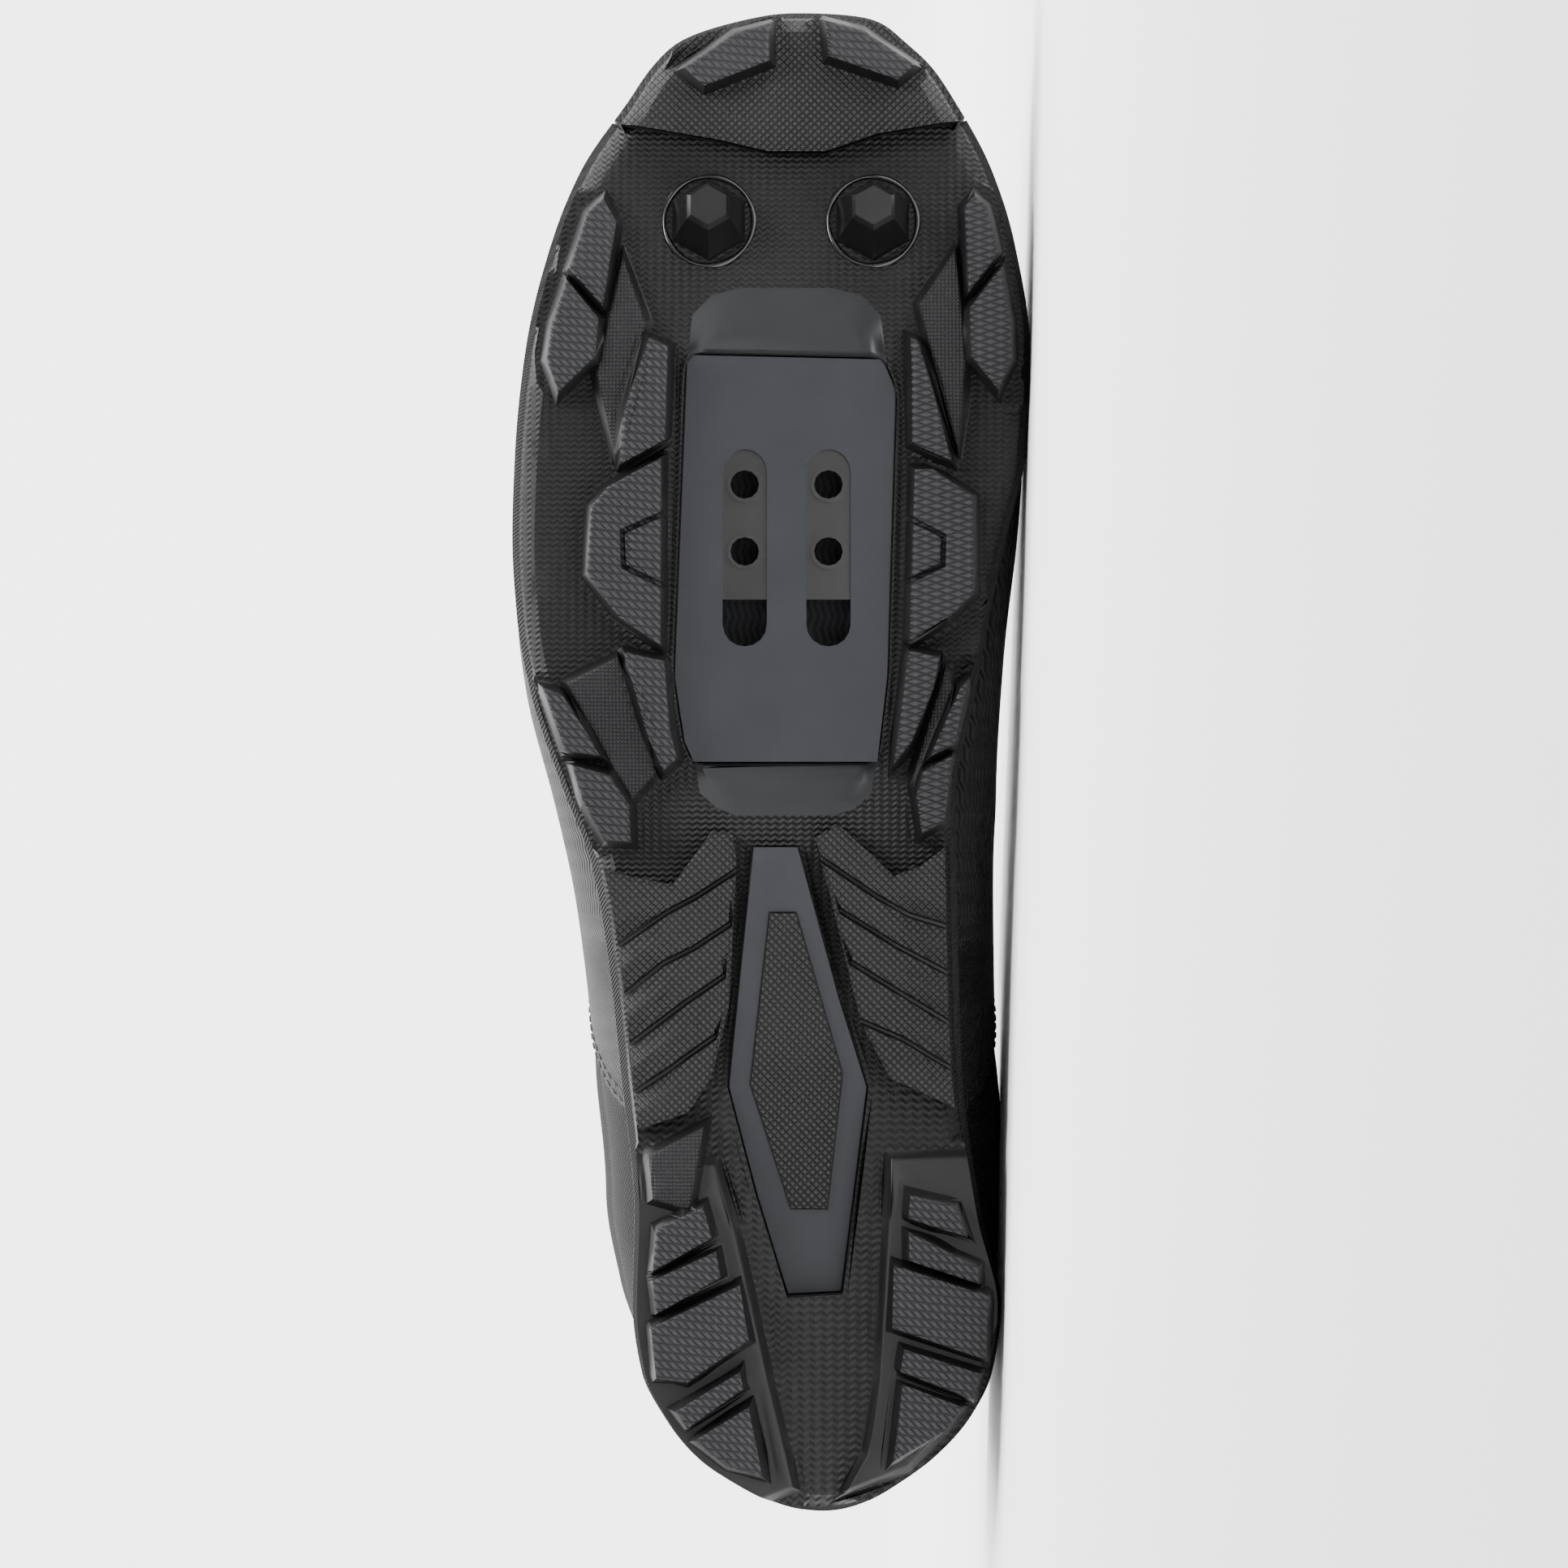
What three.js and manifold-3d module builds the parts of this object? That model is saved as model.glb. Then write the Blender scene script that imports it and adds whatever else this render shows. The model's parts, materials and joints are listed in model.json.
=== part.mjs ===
// Off-road cycling shoe, right foot, lying on its inner side.
// Modelled in millimetres: X runs from heel to toe, Y to the inner side of the foot, Z up from the tread.
import * as THREE from 'three';
import { mergeVertices } from 'three/addons/utils/BufferGeometryUtils.js';
import { ConvexHull } from 'three/addons/math/ConvexHull.js';
import Module from 'manifold-3d';

const wasm = await Module();
wasm.setup();

// Driving sizes of the last and the sole
const LENGTH = 254;
const BALL_WIDTH = 87;
const WAIST_WIDTH = 59;
const HEEL_WIDTH = 62.5;
const INSTEP_HEIGHT = 88;
const COLLAR_HEIGHT = 80;
const HEEL_STACK = 22;
const BALL_STACK = 11.5;
const TOE_SPRING = 14;
const ARCH_HEIGHT = 7;
const LUG_DEPTH = 4.8;
const HEEL_LUG_DEPTH = 7;
const RIM_HEIGHT = 12;
const HEEL_LEAN = 20;

// Walls and layers
const CLEARANCE = 0.3;
const UPPER_WALL = 1.8;
const PANEL_STEP = 0.8;
const RIM_WALL = 2;
const FEATHER_INSET = 4.6;
const PLATE_THICKNESS = 2.5;
const PLATE_MARGIN = 9;
const INSOLE_THICKNESS = 3.5;
const TONGUE_THICKNESS = 4;
const WING_THICKNESS = 3.4;
const BADGE_THICKNESS = 1.6;
const BADGE_SEAT_DEPTH = 0.9;

// Tread details
const LUG_DRAFT = 0.16;
const GROOVE_WIDTH = 1.1;
const GROOVE_DEPTH = 1.6;
const LOW_FACE_DROP = 1.9;
const BUMPER_GAP = 0.6;
const STRIP_DEPTH = 8.5;
const STUD_HEIGHT = 9;
const STUD_BASE_RADIUS = 7;
const STUD_TIP_RADIUS = 4.1;
const STUD_SEAT_DEPTH = 0.8;

// Cleat pocket
const POCKET_FLOOR_HEIGHT = 5.8;
const POCKET_FLOOR_THICKNESS = 2.2;
const SLOT_SPACING = 14;
const SLOT_LENGTH = 33;
const SLOT_WIDTH = 7.4;
const NUT_THICKNESS = 2;
const BOSS_SPACING = 11.2;
const BOSS_RADIUS = 3;
const BOSS_HEIGHT = 1.9;
const THREAD_RADIUS = 2.4;
const NUT_MARGIN = 5;
const NUT_FRONT_TRAVEL = 2.5;
const NUT_REAR_TRAVEL = 12.5;

// Eyelets and lace
const EYELET_PAIRS = 6;
const EYELET_RADIUS = 2.2;
const EYELET_FROM_EDGE = 7;
const LACE_RADIUS = 1.5;
const LACE_SIDES = 5;
const THROAT_BACK_HALF = 12;
const THROAT_FRONT_HALF = 8;

// Outline of the sole seen from below: how far each edge stands from the middle line, as a share of the
// width that the row follows
const OUTLINE = [
  { along: 0, follows: HEEL_WIDTH, lateral: -0.13, medial: 0.13 },
  { along: 0.018, follows: HEEL_WIDTH, lateral: 0.104, medial: 0.334 },
  { along: 0.037, follows: HEEL_WIDTH, lateral: 0.218, medial: 0.438 },
  { along: 0.063, follows: HEEL_WIDTH, lateral: 0.302, medial: 0.531 },
  { along: 0.093, follows: HEEL_WIDTH, lateral: 0.363, medial: 0.589 },
  { along: 0.138, follows: HEEL_WIDTH, lateral: 0.387, medial: 0.613 },
  { along: 0.199, follows: HEEL_WIDTH, lateral: 0.382, medial: 0.558 },
  { along: 0.298, follows: WAIST_WIDTH, lateral: 0.446, medial: 0.536 },
  { along: 0.36, follows: WAIST_WIDTH, lateral: 0.475, medial: 0.527 },
  { along: 0.432, follows: WAIST_WIDTH, lateral: 0.527, medial: 0.52 },
  { along: 0.477, follows: WAIST_WIDTH, lateral: 0.6, medial: 0.517 },
  { along: 0.546, follows: BALL_WIDTH, lateral: 0.474, medial: 0.389 },
  { along: 0.594, follows: BALL_WIDTH, lateral: 0.499, medial: 0.414 },
  { along: 0.648, follows: BALL_WIDTH, lateral: 0.508, medial: 0.448 },
  { along: 0.702, follows: BALL_WIDTH, lateral: 0.503, medial: 0.483 },
  { along: 0.771, follows: BALL_WIDTH, lateral: 0.483, medial: 0.493 },
  { along: 0.844, follows: BALL_WIDTH, lateral: 0.433, medial: 0.464 },
  { along: 0.891, follows: BALL_WIDTH, lateral: 0.379, medial: 0.423 },
  { along: 0.939, follows: BALL_WIDTH, lateral: 0.287, medial: 0.351 },
  { along: 0.963, follows: BALL_WIDTH, lateral: 0.24, medial: 0.305 },
  { along: 0.979, follows: BALL_WIDTH, lateral: 0.192, medial: 0.257 },
  { along: 0.996, follows: BALL_WIDTH, lateral: 0.049, medial: 0.183 },
  { along: 1, follows: BALL_WIDTH, lateral: -0.046, medial: 0.046 },
];

// How far the upper swells beyond the edge of the sole, as a share of the waist width
const SWELL = [
  { along: 0, lateral: -0.02, medial: -0.02 },
  { along: 0.09, lateral: 0, medial: -0.01 },
  { along: 0.138, lateral: 0.032, medial: -0.005 },
  { along: 0.2, lateral: 0.073, medial: 0.066 },
  { along: 0.3, lateral: 0.072, medial: 0.097 },
  { along: 0.432, lateral: 0.064, medial: 0.103 },
  { along: 0.477, lateral: 0.034, medial: 0.112 },
  { along: 0.546, lateral: 0.006, medial: 0.066 },
  { along: 0.648, lateral: -0.02, medial: 0.022 },
  { along: 0.702, lateral: -0.03, medial: -0.015 },
  { along: 0.8, lateral: -0.034, medial: -0.03 },
  { along: 1, lateral: -0.034, medial: -0.034 },
];

// Side view. drop: share of the way from the heel stack to the ball stack. spring: share of the toe spring.
// arch: share of the arch height. rim: share of the rim height. widest and ridge: shares of the instep height.
// round: exponent of the arched section. lean: the ridge's place across, as a share of the ball width.
const SIDE = [
  { along: 0, drop: 0, spring: 0, arch: 0.4, rim: 1, widest: 0.58, ridge: 1.3, round: 2.3, lean: 0.093 },
  { along: 0.06, drop: 0, spring: 0, arch: 0, rim: 1, widest: 0.58, ridge: 1.3, round: 2.3, lean: 0.088 },
  { along: 0.14, drop: 0, spring: 0, arch: 0, rim: 0.98, widest: 0.585, ridge: 1.29, round: 2.3, lean: 0.078 },
  { along: 0.21, drop: 0, spring: 0, arch: 0, rim: 0.85, widest: 0.6, ridge: 1.26, round: 2.2, lean: 0.065 },
  { along: 0.26, drop: 0.02, spring: 0, arch: 0.45, rim: 0.68, widest: 0.6, ridge: 1.22, round: 2.1, lean: 0.055 },
  { along: 0.31, drop: 0.07, spring: 0, arch: 0.9, rim: 0.52, widest: 0.59, ridge: 1.16, round: 2, lean: 0.045 },
  { along: 0.38, drop: 0.22, spring: 0, arch: 1, rim: 0.45, widest: 0.55, ridge: 1.05, round: 1.9, lean: 0.038 },
  { along: 0.44, drop: 0.4, spring: 0, arch: 0.72, rim: 0.45, widest: 0.49, ridge: 0.98, round: 1.85, lean: 0.035 },
  { along: 0.5, drop: 0.62, spring: 0, arch: 0.12, rim: 0.5, widest: 0.42, ridge: 0.915, round: 1.85, lean: 0.033 },
  { along: 0.56, drop: 0.82, spring: 0, arch: 0, rim: 0.55, widest: 0.35, ridge: 0.845, round: 1.9, lean: 0.033 },
  { along: 0.65, drop: 1, spring: 0, arch: 0, rim: 0.58, widest: 0.31, ridge: 0.745, round: 2, lean: 0.036 },
  { along: 0.74, drop: 1, spring: 0, arch: 0, rim: 0.6, widest: 0.3, ridge: 0.665, round: 2.1, lean: 0.041 },
  { along: 0.8, drop: 1, spring: 0.11, arch: 0, rim: 0.62, widest: 0.31, ridge: 0.625, round: 2.2, lean: 0.045 },
  { along: 0.87, drop: 1, spring: 0.37, arch: 0, rim: 0.7, widest: 0.34, ridge: 0.59, round: 2.2, lean: 0.048 },
  { along: 0.93, drop: 1, spring: 0.66, arch: 0, rim: 0.84, widest: 0.39, ridge: 0.56, round: 2.2, lean: 0.048 },
  { along: 0.97, drop: 1, spring: 0.87, arch: 0, rim: 0.9, widest: 0.42, ridge: 0.52, round: 2.2, lean: 0.047 },
  { along: 1, drop: 1, spring: 1.05, arch: 0, rim: 0.92, widest: 0.44, ridge: 0.44, round: 2.2, lean: 0.046 },
];

// Lugs of the tread. Corners lie along the shoe as shares of its length, and across as shares of the half
// width there, the lateral side negative. A low lug's face stands back from the faces of the others.
const TOE_LUGS = [
  { along: [0.988, 0.963, 0.946, 0.958, 0.982], across: [-0.32, -0.16, -0.55, -0.74, -0.53] },
  { along: [0.99, 0.966, 0.95, 0.96, 0.984], across: [0.27, 0.27, 0.68, 0.85, 0.64] },
];
const LUGS = [
  { along: [0.87, 0.854, 0.798, 0.823, 0.861], across: [-0.82, -0.73, -0.71, -0.88, -0.87] },
  { along: [0.816, 0.79, 0.765, 0.741, 0.763, 0.787], across: [-0.88, -0.72, -0.71, -0.84, -0.9, -0.9] },
  { along: [0.872, 0.865, 0.833, 0.807, 0.864], across: [0.86, 0.9, 0.91, 0.76, 0.8] },
  { along: [0.824, 0.797, 0.765, 0.743, 0.763, 0.787], across: [0.91, 0.76, 0.76, 0.87, 0.92, 0.92] },
  { along: [0.777, 0.772, 0.71, 0.694, 0.727], across: [-0.51, -0.43, -0.41, -0.58, -0.58] },
  { along: [0.699, 0.679, 0.666, 0.622, 0.594, 0.575], across: [-0.42, -0.62, -0.68, -0.69, -0.56, -0.39] },
  { along: [0.571, 0.565, 0.52, 0.501, 0.493, 0.516], across: [-0.55, -0.38, -0.39, -0.38, -0.46, -0.5] },
  { along: [0.777, 0.775, 0.751, 0.696, 0.708], across: [0.52, 0.55, 0.6, 0.71, 0.55] },
  { along: [0.691, 0.691, 0.673, 0.61, 0.593, 0.577], across: [0.57, 0.64, 0.82, 0.91, 0.82, 0.67] },
  { along: [0.572, 0.568, 0.546, 0.511, 0.497, 0.538], across: [0.67, 0.81, 0.8, 0.74, 0.67, 0.67] },
  { along: [0.548, 0.543, 0.518, 0.503, 0.506], across: [-0.93, -0.85, -0.78, -0.75, -0.91] },
  { along: [0.497, 0.49, 0.47, 0.446, 0.447, 0.473], across: [-0.9, -0.73, -0.68, -0.74, -0.88, -0.91] },
  { along: [0.554, 0.548, 0.502, 0.511], across: [0.95, 0.92, 0.84, 0.95] },
  { along: [0.504, 0.493, 0.477, 0.452, 0.46], across: [0.95, 0.82, 0.79, 0.81, 0.93] },
  { along: [0.193, 0.207, 0.187, 0.165], across: [-0.86, -0.59, -0.55, -0.88] },
  { along: [0.178, 0.161, 0.137, 0.159], across: [-0.53, -0.51, -0.86, -0.88] },
  { along: [0.156, 0.12, 0.092, 0.095, 0.128], across: [-0.41, -0.37, -0.73, -0.9, -0.89] },
  { along: [0.099, 0.088, 0.062, 0.073], across: [-0.43, -0.42, -0.84, -0.86] },
  { along: [0.076, 0.03, 0.037, 0.054], across: [-0.41, -0.49, -0.72, -0.84] },
  { along: [0.215, 0.208, 0.188, 0.199], across: [0.6, 0.85, 0.88, 0.57] },
  { along: [0.191, 0.168, 0.157, 0.172], across: [0.56, 0.9, 0.88, 0.53] },
  { along: [0.169, 0.149, 0.107, 0.128], across: [0.44, 0.92, 0.92, 0.4] },
  { along: [0.114, 0.098, 0.081, 0.099], across: [0.47, 0.9, 0.9, 0.46] },
  { along: [0.091, 0.076, 0.061, 0.04], across: [0.48, 0.86, 0.83, 0.6] },
];
const LOW_LUGS = [
  { along: [0.832, 0.787, 0.7, 0.754], across: [-0.67, -0.53, -0.6, -0.7] },
  { along: [0.836, 0.8, 0.771, 0.704, 0.765], across: [0.73, 0.56, 0.6, 0.73, 0.74] },
  { along: [0.551, 0.568, 0.492, 0.474], across: [-0.82, -0.58, -0.5, -0.66] },
  { along: [0.559, 0.548, 0.481, 0.488], across: [0.84, 0.89, 0.78, 0.77] },
  { along: [0.259, 0.24, 0.212, 0.205], across: [-0.54, -0.88, -0.88, -0.67] },
];

// Grooves across the lugs, as lines in the same shares
const GROOVES = [
  { along: [0.664, 0.65, 0.627, 0.613], across: [-0.36, -0.55, -0.54, -0.36] },
  { along: [0.661, 0.647, 0.628, 0.615], across: [0.56, 0.74, 0.76, 0.6] },
];
const WING_GROOVES = [
  { along: [0.428, 0.41, 0.4, 0.368], across: [-0.2, -0.45, -0.62, -1.05] },
  { along: [0.392, 0.376, 0.366, 0.334], across: [-0.28, -0.5, -0.68, -1.05] },
  { along: [0.358, 0.34, 0.302], across: [-0.34, -0.58, -1.05] },
  { along: [0.318, 0.298, 0.272], across: [-0.42, -0.68, -1.05] },
  { along: [0.436, 0.41, 0.398, 0.386], across: [0.25, 0.55, 0.72, 1.05] },
  { along: [0.401, 0.378, 0.352], across: [0.34, 0.64, 1.05] },
  { along: [0.367, 0.346, 0.318], across: [0.38, 0.66, 1.05] },
  { along: [0.329, 0.316, 0.288], across: [0.4, 0.66, 1.05] },
];

// Plan outlines in the same shares
const BUMPER_LINE = { along: [0.927, 0.911, 0.903, 0.903, 0.915, 0.929], across: [-1.2, -0.37, -0.1, 0.19, 0.47, 1.2] };
const POCKET = {
  along: [0.768, 0.765, 0.744, 0.62, 0.555, 0.498, 0.498, 0.512, 0.555],
  across: [-0.36, 0.42, 0.48, 0.56, 0.6, 0.6, -0.31, -0.34, -0.35],
};
const STRIP = {
  along: [0.444, 0.364, 0.284, 0.214, 0.146, 0.148, 0.284, 0.343, 0.444],
  across: [-0.1, -0.25, -0.38, -0.29, -0.16, 0.14, 0.44, 0.31, 0.15],
};
const BADGE = { along: [0.399, 0.399, 0.293, 0.204, 0.204, 0.286], across: [-0.05, 0.09, 0.29, 0.11, -0.09, -0.24] };
const WING_LATERAL = {
  along: [0.442, 0.426, 0.418, 0.453, 0.451, 0.434, 0.338, 0.292, 0.268, 0.25],
  across: [-1.1, -0.88, -0.57, -0.3, -0.19, -0.2, -0.33, -0.46, -0.62, -1.1],
};
const WING_MEDIAL = {
  along: [0.449, 0.457, 0.424, 0.43, 0.459, 0.262, 0.29, 0.327, 0.411],
  across: [0.24, 0.38, 0.65, 0.79, 1.1, 1.1, 0.57, 0.42, 0.29],
};
const STUD_SEATS = { along: 0.856, lateral: -0.33, medial: 0.39 };
const POCKET_MIDDLE = { along: 0.64, across: 0.115 };
const NUT_AHEAD = 5;

// Opening of the upper seen from the side. height: share of the collar height
const TOPLINE = [
  { along: -0.1, height: 1.05 },
  { along: 0.02, height: 1.03 },
  { along: 0.1, height: 0.98 },
  { along: 0.19, height: 0.88 },
  { along: 0.27, height: 0.87 },
  { along: 0.34, height: 0.96 },
  { along: 0.4, height: 1.1 },
];
const THROAT = { back: 0.38, front: 0.735 };
const TONGUE = { back: 0.31, front: 0.79, level: 0.7 };
const LACING = { back: 0.43, front: 0.7 };
// Seam where the front panel ends and the heel quarter begins: share of the length, share of the collar height
const SEAM = [
  { along: 0.245, height: 0.3 },
  { along: 0.275, height: 0.48 },
  { along: 0.33, height: 0.72 },
  { along: 0.375, height: 1.1 },
];

// Fineness of the faceted forms
const COLUMNS = 26;
const STRIP_STEPS = 24;
const LIP_LEVEL = 0.15;
const WIDEST_LEVEL = 0.4;
const FORM_LEVELS = [0, LIP_LEVEL, 0.25, 0.33, WIDEST_LEVEL, 0.5, 0.6, 0.7, 0.8, 0.9, 1];
const END_TURN = 1.6;
const ABOVE = 220;
const BELOW = -8;
const LATERAL = -1;
const MEDIAL = 1;

// Interpolation

// The angle that runs evenly round the ends of the outline, from 0 at the heel to pi at the toe.
function angleOf(along) {
  return Math.acos(THREE.MathUtils.clamp(1 - 2 * along, -1, 1));
}

// A smooth curve through the values that keeps flat stretches flat.
function smoothCurve(xs, ys) {
  const last = xs.length - 1;
  const gaps = xs.slice(1).map((x, i) => x - xs[i]);
  const slopes = gaps.map((gap, i) => (ys[i + 1] - ys[i]) / gap);
  const tangents = xs.map((_, i) => {
    if (i === 0) return slopes[0];
    if (i === last) return slopes[last - 1];
    if (slopes[i - 1] * slopes[i] <= 0) return 0;
    const before = 2 * gaps[i] + gaps[i - 1];
    const after = gaps[i] + 2 * gaps[i - 1];
    return (before + after) / (before / slopes[i - 1] + after / slopes[i]);
  });
  return (x) => {
    const inside = THREE.MathUtils.clamp(x, xs[0], xs[last]);
    let i = 0;
    while (i < last - 1 && inside > xs[i + 1]) i += 1;
    const t = (inside - xs[i]) / gaps[i];
    const rise = gaps[i] * (t * (1 - t) ** 2 * tangents[i] - t * t * (1 - t) * tangents[i + 1]);
    return ys[i] + (ys[i + 1] - ys[i]) * t * t * (3 - 2 * t) + rise;
  };
}

function columnOf(table, name) {
  const curve = smoothCurve(table.map((row) => angleOf(row.along)), table.map((row) => row[name]));
  return (along) => curve(angleOf(along));
}

const outlineAngles = OUTLINE.map((row) => angleOf(row.along));
const lateralEdge = smoothCurve(outlineAngles, OUTLINE.map((row) => -row.lateral * row.follows));
const medialEdge = smoothCurve(outlineAngles, OUTLINE.map((row) => row.medial * row.follows));
const swells = { [LATERAL]: columnOf(SWELL, 'lateral'), [MEDIAL]: columnOf(SWELL, 'medial') };
const side = Object.fromEntries(
  ['drop', 'spring', 'arch', 'rim', 'widest', 'ridge', 'round', 'lean'].map((name) => [name, columnOf(SIDE, name)]),
);

// Heights of the sole along the shoe
const floorHeight = (along) =>
  THREE.MathUtils.lerp(HEEL_STACK, BALL_STACK, side.drop(along)) + TOE_SPRING * side.spring(along);
const tipHeight = (along) => ARCH_HEIGHT * side.arch(along) + TOE_SPRING * side.spring(along);
const baseHeight = (along) =>
  tipHeight(along) + THREE.MathUtils.lerp(HEEL_LUG_DEPTH, LUG_DEPTH, side.drop(along));
const rimHeight = (along) => floorHeight(along) + RIM_HEIGHT * side.rim(along);
const stripHeight = (along) => floorHeight(along) - STRIP_DEPTH;

function soleEdge(which, along) {
  return which === LATERAL ? lateralEdge(angleOf(along)) : medialEdge(angleOf(along));
}

// A place on the plan from shares along and across.
function place(along, across) {
  const lateral = soleEdge(LATERAL, along);
  const medial = soleEdge(MEDIAL, along);
  const y = (lateral + medial) / 2 + (across * (medial - lateral)) / 2;
  return new THREE.Vector2(LENGTH * along, y);
}

function placeAll(outline) {
  return outline.along.map((along, i) => place(along, outline.across[i]));
}

// Solids

// A closed geometry from points and triangles, with doubled points joined and its faces pointing out.
function closedGeometry(points, triangles) {
  const raw = new THREE.BufferGeometry().setFromPoints(points);
  raw.setIndex(triangles.flat());
  const merged = mergeVertices(raw, 1e-3);
  const p = merged.attributes.position;
  const index = merged.index.array;
  const kept = [];
  let volume = 0;
  const [a, b, c] = [new THREE.Vector3(), new THREE.Vector3(), new THREE.Vector3()];
  for (let i = 0; i < index.length; i += 3) {
    const [ia, ib, ic] = [index[i], index[i + 1], index[i + 2]];
    if (ia !== ib && ib !== ic && ic !== ia) {
      kept.push(ia, ib, ic);
      a.fromBufferAttribute(p, ia);
      b.fromBufferAttribute(p, ib);
      c.fromBufferAttribute(p, ic);
      volume += a.dot(b.cross(c));
    }
  }
  if (volume < 0) kept.reverse();
  merged.setIndex(kept);
  return merged;
}

function toSolid(geometry) {
  const plain = geometry.clone();
  plain.deleteAttribute('normal');
  plain.deleteAttribute('uv');
  const merged = mergeVertices(plain, 1e-4);
  const mesh = new wasm.Mesh({
    numProp: 3,
    vertProperties: new Float32Array(merged.attributes.position.array),
    triVerts: new Uint32Array(merged.index.array),
  });
  return new wasm.Manifold(mesh);
}

function toGeometry(solid) {
  const mesh = solid.getMesh();
  const geometry = new THREE.BufferGeometry();
  geometry.setAttribute('position', new THREE.BufferAttribute(new Float32Array(mesh.vertProperties), mesh.numProp));
  geometry.setIndex(new THREE.BufferAttribute(new Uint32Array(mesh.triVerts), 1));
  const flat = geometry.toNonIndexed();
  flat.computeVertexNormals();
  return flat;
}

// A solid through rings of equally many points, with flat caps on the first and the last ring.
function ringSolid(rings, cap) {
  const count = rings[0].length;
  const triangles = [];
  for (let r = 0; r + 1 < rings.length; r += 1) {
    for (let i = 0; i < count; i += 1) {
      const j = (i + 1) % count;
      const [low, high] = [r * count, (r + 1) * count];
      triangles.push([low + i, low + j, high + j], [low + i, high + j, high + i]);
    }
  }
  const top = (rings.length - 1) * count;
  cap.forEach(([a, b, c]) => {
    triangles.push([a, c, b], [top + a, top + b, top + c]);
  });
  return toSolid(closedGeometry(rings.flat(), triangles));
}

// Triangles that join the two sides of a ring running out along one side and back along the other.
function stripCap(count) {
  const cap = [];
  const half = count / 2;
  for (let i = 0; i < half; i += 1) {
    const [near, far] = [(count - i) % count, count - i - 1];
    cap.push([i, i + 1, far], [i, far, near]);
  }
  return cap;
}

// The ring of column angles: lateral side from heel to toe, then the medial side back.
function ringColumns() {
  const columns = [];
  for (let k = 0; k < COLUMNS; k += 1) columns.push([LATERAL, (Math.PI * k) / COLUMNS]);
  for (let k = COLUMNS; k > 0; k -= 1) columns.push([MEDIAL, (Math.PI * k) / COLUMNS]);
  return columns;
}

function endShare(theta) {
  return Math.sin(Math.min(Math.PI / 2, END_TURN * Math.min(theta, Math.PI - theta)));
}

function counterClockwise(points) {
  return THREE.ShapeUtils.isClockWise(points) ? [...points].reverse() : points;
}

// The outline moved outwards by a distance, corners mitred.
function grown(points, distance) {
  const ordered = counterClockwise(points);
  const count = ordered.length;
  return ordered.map((point, i) => {
    const into = point.clone().sub(ordered[(i + count - 1) % count]).normalize();
    const out = ordered[(i + 1) % count].clone().sub(point).normalize();
    const bisector = new THREE.Vector2(into.y + out.y, -into.x - out.x).normalize();
    const mitre = Math.max(0.5, bisector.x * into.y - bisector.y * into.x);
    return point.clone().addScaledVector(bisector, distance / mitre);
  });
}

function planPrism(points, low, high) {
  const shape = new THREE.Shape(counterClockwise(points));
  const geometry = new THREE.ExtrudeGeometry(shape, { depth: high - low, bevelEnabled: false });
  return toSolid(geometry.translate(0, 0, low));
}

// A block across the whole width between two heights that change along the shoe.
function heightBand(low, high, from = -0.02, to = 1.02, half = BALL_WIDTH) {
  const lower = [];
  const upper = [];
  for (let i = 0; i <= STRIP_STEPS; i += 1) {
    const along = from + ((to - from) * i) / STRIP_STEPS;
    lower.push(new THREE.Vector2(LENGTH * along, low(along)));
    upper.unshift(new THREE.Vector2(LENGTH * along, high(along)));
  }
  const shape = new THREE.Shape([...lower, ...upper]);
  const geometry = new THREE.ExtrudeGeometry(shape, { depth: 2 * half, bevelEnabled: false });
  return toSolid(geometry.rotateX(Math.PI / 2).translate(0, half, 0));
}

// A block seen from the side as a closed line of x and z, across the whole width.
function sidePrism(points) {
  const geometry = new THREE.ExtrudeGeometry(new THREE.Shape(points), { depth: 2 * BALL_WIDTH, bevelEnabled: false });
  return toSolid(geometry.rotateX(Math.PI / 2).translate(0, BALL_WIDTH, 0));
}

// A line in plan made into a band of the given width.
function ribbon(points, width) {
  const sides = points.map((point, i) => {
    const ahead = points[Math.min(points.length - 1, i + 1)];
    const behind = points[Math.max(0, i - 1)];
    const across = ahead.clone().sub(behind).normalize();
    return [
      point.clone().add(new THREE.Vector2(-across.y, across.x).multiplyScalar(width / 2)),
      point.clone().add(new THREE.Vector2(across.y, -across.x).multiplyScalar(width / 2)),
    ];
  });
  return [...sides.map((pair) => pair[0]), ...sides.map((pair) => pair[1]).reverse()];
}

function union(solids) {
  return solids.reduce((sum, next) => sum.add(next));
}

// The foot form that upper, sole, insole and tongue share

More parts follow.
